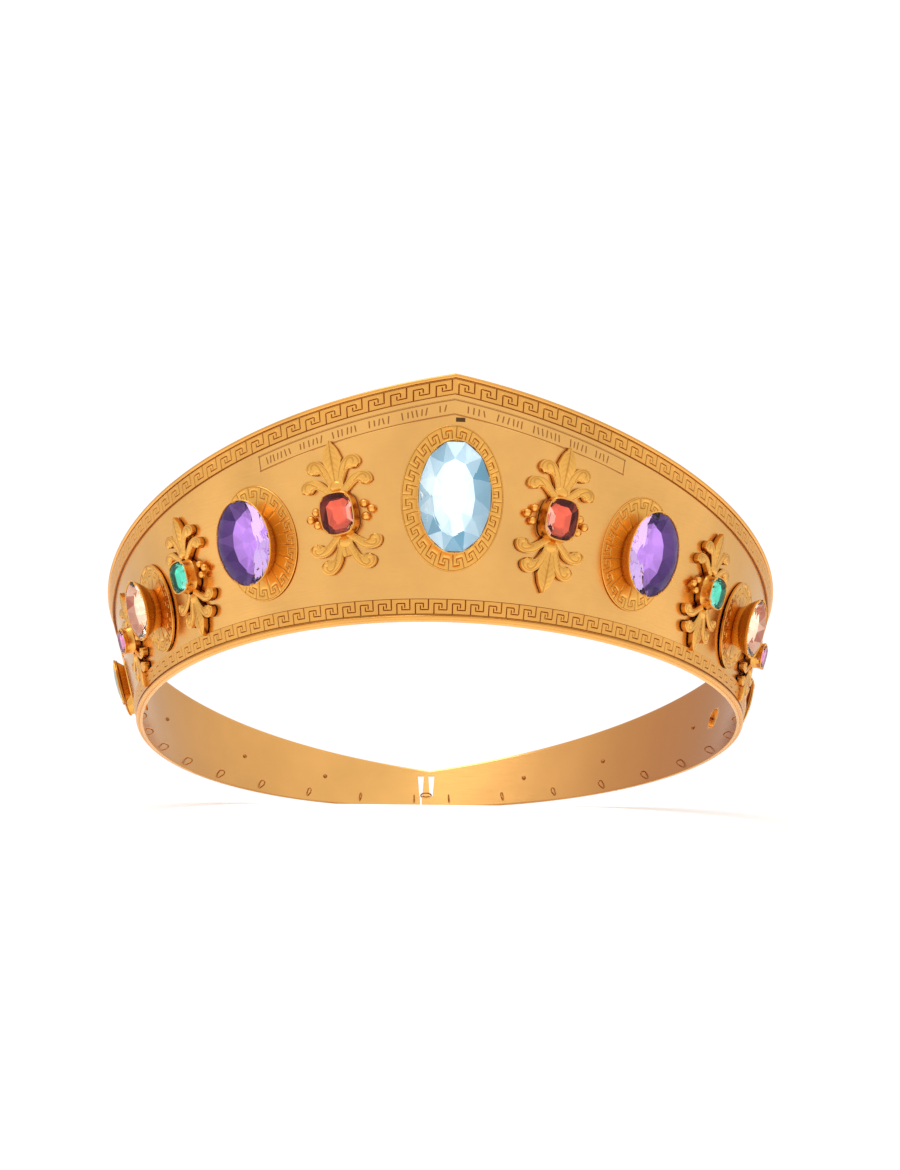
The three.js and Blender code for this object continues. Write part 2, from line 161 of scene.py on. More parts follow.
@dataclass(frozen=True)
class GemFinish:
    """A polished stone, clear or milky.

    Attributes:
        name: the material's name.
        slot: the record's material slot; not used.
        colour: the stone's tint, linear.
        clear: how much light goes through, 0 to 1.
        index: refractive index.
        roughness: the polish.
    """

    name: str
    slot: str
    colour: tuple[float, float, float]
    clear: float = 1.0
    index: float = 1.3
    roughness: float = 0.01

    def material(self) -> bpy.types.Material:
        """Makes the material once and gives it back.

        Returns:
            The material.
        """
        made = bpy.data.materials.get(f"{self.name}_finish")
        if made:
            return made
        made = bpy.data.materials.new(f"{self.name}_finish")
        made.use_nodes = True
        nodes, links = made.node_tree.nodes, made.node_tree.links
        shader = nodes["Principled BSDF"]
        shader.inputs["Base Color"].default_value = (*self.colour, 1)
        shader.inputs["Transmission Weight"].default_value = self.clear
        shader.inputs["IOR"].default_value = self.index
        shader.inputs["Roughness"].default_value = self.roughness
        place = nodes.new("ShaderNodeTexCoord")
        veil = nodes.new("ShaderNodeTexNoise")
        veil.inputs["Scale"].default_value = 400.0
        links.new(place.outputs["Object"], veil.inputs["Vector"])
        if self.clear < 1:
            tone = nodes.new("ShaderNodeValToRGB")
            tone.color_ramp.elements[0].color = (*[c * 0.7 for c in self.colour], 1)
            tone.color_ramp.elements[1].color = (*[min(1, c * 1.15) for c in self.colour], 1)
            links.new(veil.outputs["Fac"], tone.inputs["Fac"])
            links.new(tone.outputs["Color"], shader.inputs["Base Color"])
        bump = nodes.new("ShaderNodeBump")
        bump.inputs["Strength"].default_value = 0.02
        bump.inputs["Distance"].default_value = 0.00002
        links.new(veil.outputs["Fac"], bump.inputs["Height"])
        links.new(bump.outputs["Normal"], shader.inputs["Normal"])
        return made


@dataclass(frozen=True)
class FoilFinish:
    """The tinted foil behind a stone in its closed cup, in facets whose tones paint the stone's glints
    and shade, and which glows as painted light.

    Attributes:
        name: the material's name.
        slot: the record's material slot; not used.
        bright: the tone of the facets with painted glints, linear.
        deep: the tone of the facets in painted shade near the edge, linear.
        painted_glow: strength of the foil's glow in its facets' tones, painted light that stands for
            what the facets gather and give back.
        edge: how near to bright the facets at the edge may come.
    """

    name: str
    slot: str
    bright: tuple[float, float, float]
    deep: tuple[float, float, float]
    painted_glow: float = 0.35
    edge: float = 0.25

    def material(self) -> bpy.types.Material:
        """Makes the foil's material once and gives it back.

        Returns:
            The material.
        """
        made = bpy.data.materials.get(f"{self.name}_finish")
        if made:
            return made
        made = bpy.data.materials.new(f"{self.name}_finish")
        made.use_nodes = True
        nodes, links = made.node_tree.nodes, made.node_tree.links
        shader = nodes["Principled BSDF"]
        shader.inputs["Metallic"].default_value = 0.6
        shader.inputs["Roughness"].default_value = 0.35
        facet = nodes.new("ShaderNodeAttribute")
        facet.attribute_name = "facet"
        tone = nodes.new("ShaderNodeValToRGB")
        tone.color_ramp.elements[0].color = (*self.deep, 1)
        tone.color_ramp.elements[1].color = (*self.bright, 1)
        links.new(facet.outputs["Fac"], tone.inputs["Fac"])
        links.new(tone.outputs["Color"], shader.inputs["Base Color"])
        # The foil glows in its facets' tones: painted light, since the foil is no lamp.
        links.new(tone.outputs["Color"], shader.inputs["Emission Color"])
        shader.inputs["Emission Strength"].default_value = self.painted_glow
        return made


SHEET_GOLD = GoldFinish(
    "sheet_gold", "sheet_gold", (0.88, 0.47, 0.14), (0.50, 0.20, 0.07),
    roughness=(0.15, 0.3), brushing=(0.2, 0.2, 2.0), bump=0.2,
)
# Near black gold that paints the shade inside the slot.
SLOT_SHADE_GOLD = GoldFinish("slot_shade_gold", "sheet_gold", (0.12, 0.06, 0.025), (0.05, 0.02, 0.01))
PANEL_GOLD = GoldFinish(
    "panel_gold", "sheet_gold", (0.88, 0.47, 0.14), (0.26, 0.08, 0.015),
    roughness=(0.15, 0.3), brushing=(0.2, 0.2, 2.0), bump=0.2,
)
BORDER_GOLD = GoldFinish(
    "border_gold", "border_gold", (0.84, 0.41, 0.095), (0.24, 0.07, 0.01), roughness=(0.26, 0.4),
)
MOUNT_GOLD = GoldFinish(
    "mount_gold", "mount_gold", (0.88, 0.45, 0.10), (0.36, 0.12, 0.015), roughness=(0.24, 0.32),
    bump=0.03,
)
# A darkened gold whose colour paints the shade on the sewing loops, the closure ring and the pins.
SHADED_WIRE_GOLD = GoldFinish(
    "wire_gold", "wire_gold", (0.42, 0.17, 0.035), (0.34, 0.11, 0.02), roughness=(0.2, 0.3),
)

GEMS: dict[str, tuple[GemFinish, FoilFinish, Cut]] = {
    "aquamarine": (
        GemFinish("aquamarine", "aquamarine", (0.89, 0.97, 1.0)),
        FoilFinish("aquamarine_foil", "aquamarine", (1.0, 1.0, 1.0), (0.09, 0.25, 0.35), 0.6, 0.8),
        Cut.BRILLIANT),
    "garnet": (
        GemFinish("garnet", "garnet", (0.98, 0.42, 0.32)),
        FoilFinish("garnet_foil", "garnet", (1.0, 0.62, 0.52), (0.05, 0.002, 0.004), 0.28), Cut.STEP),
    "amethyst": (
        GemFinish("amethyst", "amethyst", (0.74, 0.50, 0.95)),
        FoilFinish("amethyst_foil", "amethyst", (1.0, 0.92, 1.0), (0.035, 0.0, 0.09), 0.26),
        Cut.BRILLIANT),
    "emerald": (
        GemFinish("emerald", "emerald", (0.26, 0.86, 0.68)),
        FoilFinish("emerald_foil", "emerald", (0.8, 1.0, 1.0), (0.0, 0.04, 0.025)), Cut.STEP),
    "topaz": (
        GemFinish("topaz", "topaz", (1.0, 0.86, 0.71)),
        FoilFinish("topaz_foil", "topaz", (1.0, 0.98, 0.94), (0.34, 0.08, 0.035), 0.6, 0.6),
        Cut.BRILLIANT),
    "pink": (
        GemFinish("pink", "pink", (0.92, 0.55, 0.78)),
        FoilFinish("pink_foil", "pink", (1.0, 0.85, 0.95), (0.2, 0.03, 0.1)), Cut.STEP),
    "opal": (
        GemFinish("opal", "opal", (0.50, 0.62, 0.57), clear=0.35, roughness=0.08),
        FoilFinish("opal_foil", "opal", (0.7, 0.8, 0.75), (0.3, 0.4, 0.36)), Cut.CABOCHON),
    "turquoise": (
        GemFinish("turquoise", "turquoise", (0.10, 0.50, 0.68), clear=0.2, roughness=0.1),
        FoilFinish("turquoise_foil", "turquoise", (0.2, 0.6, 0.7), (0.05, 0.25, 0.32)),
        Cut.CABOCHON),
    "citrine": (
        GemFinish("citrine", "citrine", (0.92, 0.66, 0.26)),
        FoilFinish("citrine_foil", "citrine", (1.0, 0.95, 0.75), (0.35, 0.13, 0.02)),
        Cut.BRILLIANT),
}


@dataclass
class Seat:
    """A flat drawing board on the sheet: x across, y up the sheet, z outward, in millimetres."""

    origin: Array
    across: Array
    up: Array
    outward: Array

    def put(self, points: Array) -> Array:
        """Places drawn points on the sheet.

        Args:
            points: rows of x, y, z.

        Returns:
            The same points in the shared frame, in millimetres.
        """
        return (
            self.origin + points[..., :1] * self.across
            + points[..., 1:2] * self.up + points[..., 2:] * self.outward
        )


@dataclass
class RingPlan:
    """The oval ring that the sheet stands on, and the slope and height of the sheet.

    Attributes:
        half_width: half the ring's width.
        half_depth: half its depth from front to back.
        egg: how much narrower the front is than the back.
        out_of_true: how far the ring is pulled askew.
        peak_phase: where on the oval the peak stands.
        sheet: thickness of the sheet.
        flare: lean of the sheet away from upright.
        front_height: height along the slope at the peak.
        back_height: height along the slope at the back.
        side_sag: how far the upper edge hangs below a straight fall.
        samples: points that the ring is measured at.
        shift: way from the ring's own origin to the solids'.
    """

    half_width: float = 80.0
    half_depth: float = 88.0
    egg: float = -0.076
    out_of_true: float = 0.0274
    peak_phase: float = math.radians(2.3)
    sheet: float = 0.8
    flare: float = math.radians(14)
    front_height: float = 63.0
    back_height: float = 11.8
    side_sag: float = 1.33
    samples: int = 5760
    shift: Array = field(default_factory=lambda: np.zeros(3))

    def __post_init__(self) -> None:
        """Measures the ring once, so that ways along it can be looked up."""
        phases = np.array([self.peak_phase, self.peak_phase + math.pi])
        ends = self._oval(phases)
        axis = ends[0] - ends[1]
        self.turn = -math.atan2(axis[0], -axis[1])
        self.angles = np.linspace(-math.pi, math.pi, self.samples + 1)
        path = self.plan(self.angles)
        steps = np.linalg.norm(np.diff(path, axis=0), axis=1)
        self.ways = np.concatenate([[0.0], np.cumsum(steps)])
        self.length = float(self.ways[-1])
        self.ways = self.ways - self.ways[self.samples // 2]

    def _oval(self, t: Array) -> Array:
        """The untrue oval at phase t."""
        x = self.half_width * (np.sin(t) + self.egg * np.sin(t) * np.cos(t))
        y = -self.half_depth * np.cos(t) + self.half_width * self.out_of_true * np.sin(2 * t)
        return np.stack([x, y], axis=-1)

    def plan(self, angle: Array) -> Array:
        """The oval turned so that its peak is straight in front.

        Args:
            angle: angles from the peak.

        Returns:
            Points in plan.
        """
        point = self._oval(angle + self.peak_phase)
        c, s = math.cos(self.turn), math.sin(self.turn)
        return np.stack([point[..., 0] * c - point[..., 1] * s,
                         point[..., 0] * s + point[..., 1] * c], axis=-1)

    def angle_at(self, arc: Array) -> Array:
        """The angle at a way along the lower edge from the peak, positive to the right."""
        low = self.ways[0]
        return np.interp((np.asarray(arc, float) - low) % self.length + low, self.ways, self.angles)

    def height_at(self, arc: Array) -> Array:
        """The sheet's height along its slope.

        Args:
            arc: ways along the lower edge.

        Returns:
            The heights.
        """
        away = np.abs(self.angle_at(arc))
        fall = (self.back_height - self.front_height) * away / math.pi
        return self.front_height + fall - self.side_sag * np.sin(away)

    def directions(self, arc: Array) -> tuple[Array, Array, Array, Array, Array]:
        """Foot, across, level, up and outward at a way along the lower edge.

        Args:
            arc: ways along the lower edge.

        Returns:
            Five arrays of points or directions, one row for each way.
        """
        angle = self.angle_at(arc)
        step = 2e-4
        along = self.plan(angle + step) - self.plan(angle - step)
        along = along / np.linalg.norm(along, axis=-1, keepdims=True)
        foot2 = self.plan(angle)
        zero = np.zeros(angle.shape)
        foot = np.stack([foot2[..., 0], foot2[..., 1], zero], -1) + self.shift
        across = np.stack([along[..., 0], along[..., 1], zero], -1)
        level = np.stack([along[..., 1], -along[..., 0], zero], -1)
        z = np.array([0.0, 0.0, 1.0])
        up = level * math.sin(self.flare) + z * math.cos(self.flare)
        outward = level * math.cos(self.flare) - z * math.sin(self.flare)
        return foot, across, level, up, outward

    def point(self, arc: Array, rise: Array, off: Array) -> Array:
        """Points on the sheet's outer face or off it.

        Args:
            arc: ways along the lower edge.
            rise: ways up the slope.
            off: ways off the outer face.

        Returns:
            Points in millimetres in the shared frame.
        """
        foot, _, _, up, outward = self.directions(arc)
        return foot + up * np.asarray(rise)[..., None] + outward * np.asarray(off)[..., None]

    def seat(self, arc: float, rise: float, tilt: float = 0.0) -> Seat:
        """The drawing board at a place on the sheet.

        Args:
            arc: way along.
            rise: way up.
            tilt: lean of the board's top to the right.

        Returns:
            The board.
        """
        _, across, _, up, outward = (v for v in self.directions(np.array(arc)))
        leaning_up = up * math.cos(tilt) + across * math.sin(tilt)
        leaning_across = across * math.cos(tilt) - up * math.sin(tilt)
        origin = self.point(np.array(arc), np.array(rise), np.array(0.0))
        return Seat(origin, leaning_across, leaning_up, outward)


@dataclass
class Shape:
    """Points and faces of one piece while it is made, in millimetres."""

    points: list[Array] = field(default_factory=list)
    patina_and_shade: list[Array] = field(default_factory=list)
    quads: list[Array] = field(default_factory=list)
    triangles: list[Array] = field(default_factory=list)
    count: int = 0

    def _hold(self, points: Array, patina_and_shade: Array | None) -> int:
        """Keeps points.

        Args:
            points: the points, in any arrangement.
            patina_and_shade: a tone for each, patina or painted shade, or None for bright.

        Returns:
            The number of the first.
        """
        flat = points.reshape(-1, 3)
        start = self.count
        self.points.append(flat)
        self.patina_and_shade.append(np.zeros(len(flat)) if patina_and_shade is None else patina_and_shade.reshape(-1))
        self.count += len(flat)
        return start

    def grid(self, points: Array, patina_and_shade: Array | None = None,
             wrap_rows: bool = False, wrap_columns: bool = False) -> None:
        """Adds a grid of points with a face in each cell.

        Args:
            points: rows by columns by 3.
            patina_and_shade: rows by columns, 0 for bright and 1 for deep patina or painted shade.
            wrap_rows: join the last row to the first.
            wrap_columns: join the last column to the first.
        """
        rows, columns = points.shape[:2]
        start = self._hold(points, patina_and_shade)
        r = np.arange(rows if wrap_rows else rows - 1)
        c = np.arange(columns if wrap_columns else columns - 1)
        r0, c0 = np.meshgrid(r, c, indexing="ij")
        r1, c1 = (r0 + 1) % rows, (c0 + 1) % columns
        cells = [r0 * columns + c0, r0 * columns + c1, r1 * columns + c1, r1 * columns + c0]
        self.quads.append(start + np.stack(cells, -1).reshape(-1, 4))

    def cap(self, ring: Array) -> None:
        """Closes a ring of points with a fan round its middle.

        Args:
            ring: the points.
        """
        n = len(ring)
        points = np.vstack([ring, ring.mean(0, keepdims=True)])
        start = self._hold(points, None)
        i = np.arange(n)
        self.triangles.append(start + np.stack([i, (i + 1) % n, np.full(n, n)], -1))

    def loft(self, rings: Array, patina_and_shade: Array | None = None) -> None:
        """Joins rings of points into a tube that is closed at its ends.

        Args:
            rings: the rings, one after the other.
            patina_and_shade: a tone for each point, patina or painted shade, or None for bright.
        """
        self.grid(rings, patina_and_shade, wrap_columns=True)
        self.cap(rings[0])
        self.cap(rings[-1])

    def bead(self, centre: Array, sizes: tuple[float, float, float],
             axes: Array | None = None, turns: int = 10, levels: int = 7) -> None:
        """Adds a small rounded bead.

        Args:
            centre: its middle.
            sizes: half sizes along its own three axes.
            axes: its axes as rows, or None for straight ones.
            turns: points round it.
            levels: rows from pole to pole.
        """
        polar = np.linspace(0.08, math.pi - 0.08, levels)[:, None]
        turn = np.arange(turns)[None, :] * 2 * math.pi / turns
        ball = np.stack([np.sin(polar) * np.cos(turn), np.sin(polar) * np.sin(turn),
                         np.cos(polar) + 0 * turn], -1) * np.array(sizes)
        if axes is not None:
            ball = ball @ axes
        self.loft(ball + centre)

    def mesh(self, name: str) -> bpy.types.Mesh:
        """Turns the shape into a closed mesh in metres, with its patina and painted shade on the
        points.

        Args:
            name: the mesh's name.

        Returns:
            The mesh.
        """
        mesh = bpy.data.meshes.new(name)
        faces = [list(map(int, f)) for block in self.quads + self.triangles for f in block]
        mesh.from_pydata((np.vstack(self.points) * METRES).tolist(), [], faces)
        mark = mesh.attributes.new("patina_and_shade", "FLOAT", "POINT")
        mark.data.foreach_set("value", np.concatenate(self.patina_and_shade).astype(np.float32))
        made = bmesh.new()
        made.from_mesh(mesh)
        bmesh.ops.remove_doubles(made, verts=made.verts, dist=SAME_PLACE)
        bmesh.ops.recalc_face_normals(made, faces=made.faces)
        made.to_mesh(mesh)
        made.free()
        return mesh

    def piece(self, name: str, finish: GoldFinish | GemFinish | FoilFinish, *nodes: str,
              smooth: float = 32.0) -> bpy.types.Object:
        """Turns the shape into a piece of the model.

        Args:
            name: the piece's name.
            finish: what it is made of.
            nodes: the solids that it stands for.
            smooth: the angle in degrees over which an edge stays sharp.

        Returns:
            The new object.
        """
        mesh = self.mesh(name)
        mesh.polygons.foreach_set("use_smooth", [True] * len(mesh.polygons))
        mesh.set_sharp_from_angle(angle=math.radians(smooth))
        return dress(name, mesh, finish, *nodes)


def dress(name: str, mesh: bpy.types.Mesh, finish: GoldFinish | GemFinish | FoilFinish,
          *nodes: str) -> bpy.types.Object:
    """Makes an object of a mesh, gives it its finish and lets it ride on the body.

    Args:
        name: the object's name.
        mesh: its mesh, in metres.
        finish: what it is made of.
        nodes: the solids that it stands for.

    Returns:
        The new object.
    """
    piece = bpy.data.objects.new(name, mesh)
    bpy.context.scene.collection.objects.link(piece)
    mesh.materials.append(finish.material())
    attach(piece, BODY)
    if nodes:
        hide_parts(*nodes)
    LOG.info("%s: %d faces", name, len(mesh.polygons))
    return piece


def distance_to_path(x: Array, y: Array, path: list[tuple[float, float]]) -> Array:
    """How far points lie from a broken line.

    Args:
        x: across.
        y: up.
        path: the line's corners.

    Returns:
        The distances.
    """
    best = np.full(np.broadcast(x, y).shape, 1e9)
    for (ax, ay), (bx, by) in zip(path, path[1:]):
        dx, dy = bx - ax, by - ay
        t = np.clip(((x - ax) * dx + (y - ay) * dy) / (dx * dx + dy * dy), 0, 1)
        best = np.minimum(best, np.hypot(x - ax - t * dx, y - ay - t * dy))
    return best


@dataclass(frozen=True)
class Meander:
    """The cut key pattern: two hooks that reach into each other in every unit.

    Attributes:
        groove: half the width of a cut line.
        hook: corners of the first hook, in shares of the unit and of the strip's height.
    """

    groove: float = 0.17
    hook: tuple[tuple[float, float], ...] = ((0.15, 0.0), (0.15, 0.72), (0.58, 0.72), (0.58, 0.44))

    def stops(self, span: float, upward: bool) -> Array:
        """Shares of a span where the mesh needs a line, so that every groove is crisp.

        Args:
            span: the length that the shares are of.
            upward: for lines across the strip's height and not along it.

        Returns:
            Rising shares from 0 up to and with 1.
        """
        places = {corner[1 if upward else 0] for corner in self.hook}
        places |= {1 - place for place in places}
        half = self.groove / span
        lines = {0.0, 1.0}
        for place in places:
            lines |= {place - half, place, place + half}
        kept = sorted(line for line in lines if 0 <= line <= 1)
        spaced = [kept[0]]
        for line in kept[1:]:
            if line - spaced[-1] > half * 0.3:
                spaced.append(line)
        spaced[-1] = 1.0
        return np.array(spaced)

    def depth(self, u: Array, v: Array, pitch: float, height: float) -> Array:
        """How deep the pattern is cut, 0 to 1.

        Args:
            u: the way along, in units of the pattern.
            v: the way up, 0 to 1.
            pitch: length of a unit.
            height: height of the strip.

        Returns:
            The share of the full depth.
        """
        x, y = (u % 1.0) * pitch, v * height
        first = [(a * pitch, b * height) for a, b in self.hook]
        second = [((1 - a) * pitch, (1 - b) * height) for a, b in self.hook]
        near = np.minimum(distance_to_path(x, y, first), distance_to_path(x, y, second))
        return np.clip(1 - near / self.groove, 0, 1)

    def along(self, units: int, pitch: float) -> Array:
        """All mesh lines along a run of units, in units, without the last end."""
        stops = self.stops(pitch, upward=False)[:-1]
        return (np.arange(units)[:, None] + stops[None, :]).reshape(-1)


@dataclass
class Band:
    """The bent sheet with its closure, its oval openings and the small slot at the front.

    Attributes:
        plan: the ring.
        columns: mesh columns round the ring.
        rows: mesh rows up each face.
        window_top: width of a closure window at its top.
        window_foot: width at its foot.
        window_low: rise of its foot.
        window_high: rise of its top.
        window_pitch: way from one window to the other.
        seam: width of the seam.
        hole: width and height of an oval opening.
        slot: width and height of the slot.
        slot_at: way along and rise of the slot.
        slot_depth: depth of the slot.
        left_tone: redness of the inner face at the left.
        right_tone: redness of the inner face at the right.
        rounding: rounding of the sheet's edges.
    """

    plan: RingPlan
    columns: int = 660
    rows: int = 26
    window_top: float = 1.75
    window_foot: float = 0.85
    window_low: float = 3.4
    window_high: float = 10.2
    window_pitch: float = 2.9
    seam: float = 0.5
    hole: tuple[float, float] = (5.0, 5.6)
    slot: tuple[float, float] = (2.4, 1.1)
    slot_at: tuple[float, float] = (1.3, 51.2)
    slot_depth: float = 0.45
    left_tone: float = 0.4
    right_tone: float = 0.95
    rounding: float = 0.2

    def _section(self) -> Array:
        """The sheet's closed section, outer foot first.

        Returns:
            Rows of share of the height, extra rise and way in.
        """
        b = self.rounding
        shares = np.linspace(0, 1, self.rows)
        outer = [(s, 0.0, 0.0) for s in shares[1:-1]]
        inner = [(s, 0.0, self.plan.sheet) for s in shares[::-1][1:-1]]
        top = [(1, -b, 0), (1, -b * 0.3, b * 0.3), (1, 0, b), (1, 0, self.plan.sheet - b),
               (1, -b * 0.3, self.plan.sheet - b * 0.3), (1, -b, self.plan.sheet)]
        foot = [(0, b, self.plan.sheet), (0, b * 0.3, self.plan.sheet - b * 0.3),
                (0, 0, self.plan.sheet - b), (0, 0, b), (0, b * 0.3, b * 0.3), (0, b, 0)]
        return np.array(outer + top + inner + foot)

    def build(self, holes: list[tuple[float, float]]) -> None:
        """Makes the sheet, cuts its openings and dresses it.

        Args:
            holes: way along and rise of each oval hole.
        """
        plan = self.plan
        arcs = np.linspace(-plan.length / 2, plan.length / 2, self.columns + 1)[:-1]
        section = self._section()
        foot, _, level, up, _ = plan.directions(arcs)
        rise = section[None, :, 0] * plan.height_at(arcs)[:, None] + section[None, :, 1]
        way_in = level[:, None] * section[None, :, 2, None]
        points = foot[:, None] + up[:, None] * rise[..., None] - way_in
        shape = Shape()
        away = np.abs(arcs) / (plan.length / 2)
        to_right = np.clip(arcs / (plan.length / 4), 0, 1)
        redder = self.left_tone + (self.right_tone - self.left_tone) * to_right
        # The inner face is darker and redder, more at the right, and bright only near the seam at the
        # back.
        inner_darkening = np.clip((0.97 - away) / 0.25, 0, 1) * redder
        tones = np.where(section[None, :, 2] >= plan.sheet, inner_darkening[:, None], 0.0)
        shape.grid(points, tones, wrap_rows=True, wrap_columns=True)
        sheet = shape.piece("band_sheet", SHEET_GOLD, "band")
        back = plan.length / 2
        self._cut(sheet, "window_a", back, 0, self._window())
        self._cut(sheet, "window_b", back - self.window_pitch, 0, self._window())
        half = self.seam / 2
        self._cut(sheet, "seam", back, 0, np.array(
            [[-half, -1], [half, -1], [half, self.window_low + 0.5], [-half, self.window_low + 0.5]]))
        turn = np.arange(32) * 2 * math.pi / 32
        oval = np.stack([self.hole[0] / 2 * np.cos(turn), self.hole[1] / 2 * np.sin(turn)], -1)
        wide, high = self.slot[0] / 2, self.slot[1] / 2
        slot = np.array([[-wide, -high], [wide, -high], [wide, high], [-wide, high]])
        self._cut(sheet, "slot", *self.slot_at, slot, -self.slot_depth)
        # A dark plate at the slot's floor paints the shade inside the shallow slot.
        shape = Shape()
        seat = plan.seat(*self.slot_at)
        shape.loft(np.stack([
            seat.put(np.column_stack([slot * 0.98, np.full(4, level)]))
            for level in (-self.slot_depth - 0.05, -self.slot_depth + 0.1)]))
        shape.piece("slot_shade_plate", SLOT_SHADE_GOLD)
        for index, (arc, rise_at) in enumerate(holes):
            self._cut(sheet, f"hole_{index}", arc, rise_at, oval)

    def _window(self) -> Array:
        """The outline of a tapered window."""
        foot, top = self.window_foot / 2, self.window_top / 2
        return np.array([[-foot, self.window_low], [foot, self.window_low],
                         [top, self.window_high], [-top, self.window_high]])

    def _cut(self, sheet: bpy.types.Object, name: str, arc: float, rise: float,
             outline: Array, down_to: float = -3.0) -> None:
        """Cuts an outline into the sheet, right through it if down_to lies behind it.

        Args:
            sheet: the sheet.
            name: the cut's name.
            arc: way along.
            rise: way up.
            outline: corners of the opening.
            down_to: level of the cut's floor.
        """
        seat = self.plan.seat(arc, rise)
        rings = np.stack([
            seat.put(np.column_stack([outline, np.full(len(outline), z)])) for z in (down_to, 3.0)])
        shape = Shape()
        shape.loft(rings)
        tool = bpy.data.objects.new(name, shape.mesh(name))
        bpy.context.scene.collection.objects.link(tool)
        knife = sheet.modifiers.new(name, "BOOLEAN")
        knife.operation = "DIFFERENCE"
        knife.solver = "EXACT"
        knife.object = tool
        view = bpy.context.evaluated_depsgraph_get()
        done = bpy.data.meshes.new_from_object(sheet.evaluated_get(view))
        sheet.modifiers.clear()
        sheet.data = done
        bpy.data.objects.remove(tool)


@dataclass
class Border:
    """An applied border: a round rim at the edge and a strip with the cut meander.

    Attributes:
        plan: the ring.
        name: the solid's name.
        upper: whether it lies at the upper edge.
        pitch: length of a key unit.
        rim: width of the rim.
        rim_depth: how far the rim stands off the sheet.
        step: width of the groove between the rim and the strip.
        base: level of the floor of that groove.
        strip: width of the strip.
        strip_depth: how far the strip stands off the sheet.
        cut_depth: depth of the keys.
        strip_shadow: width of the painted shadow line on the sheet along the strip.
        lower_setback: way from the lower edge.
        upper_setback: way from the upper edge.
        full_at: height of the sheet under which the border narrows.
        end: way from the seam to its end.
    """

    plan: RingPlan
    name: str
    upper: bool
    pitch: float
    rim: float = 1.2
    rim_depth: float = 0.85
    step: float = 0.3
    base: float = 0.25
    strip: float = 3.6
    strip_depth: float = 0.62
    cut_depth: float = 0.22
    strip_shadow: float = 0.22
    lower_setback: float = 0.4
    upper_setback: float = 0.1
    full_at: float = 24.0
    end: float = 17.0

    def build(self) -> None:
        """Makes the border with its meander and dresses it."""
        plan = self.plan
        reach = plan.length / 2 - self.end
        units = round(2 * reach / self.pitch / 2) * 2
        pitch = 2 * reach / units
        meander = Meander()
        along = np.append(meander.along(units, pitch), units)
        arcs = along * pitch - reach
        count = len(arcs)
        height = plan.height_at(arcs)
        scale = np.minimum(1, height / self.full_at)[:, None]
        turn = np.linspace(0, math.pi, 7)[None, :]
        rim = self.rim * scale
        rim_way = rim / 2 * (1 - np.cos(turn))
        rim_off = self.base + (self.rim_depth - self.base) * np.sin(turn) ** 0.8 * np.ones_like(rim)
        v = meander.stops(self.strip, upward=True)[None, :]
        start = rim + self.step
        strip_way = start + v * self.strip * scale
        unit = along[:, None]
        seen = 1 - v if self.upper else v
        cut = meander.depth(unit, seen, pitch, self.strip)
        strip_off = self.strip_depth - self.cut_depth * cut
        zero = np.zeros((count, 1))
        end = start + self.strip * scale
        way = np.hstack([zero, rim_way, rim + self.step / 2, start, strip_way, end,
                         end + self.strip_shadow * scale])
        off = np.hstack([zero, rim_off, zero + self.base, zero + self.base, strip_off,
                         zero + 0.1, zero + 0.02])
        # Painted shade in the groove between rim and strip, on the strip's wall away from the rim and
        # on the shadow line beside it; the keys' cut lines carry patina.
        deep = np.hstack([zero, 0 * rim_off, zero + 1, zero + 0.9, 0.9 * cut, zero + 1, zero + 1])
        rise = height[:, None] - self.upper_setback - way if self.upper else self.lower_setback + way
        foot, _, _, up, outward = plan.directions(arcs)
        points = foot[:, None] + up[:, None] * rise[..., None] + outward[:, None] * off[..., None]
        shape = Shape()
        shape.grid(points, deep, wrap_columns=True)
        shape.cap(points[0])
        shape.cap(points[-1])
        shape.piece(f"{self.name}_keys", BORDER_GOLD, self.name, smooth=40)


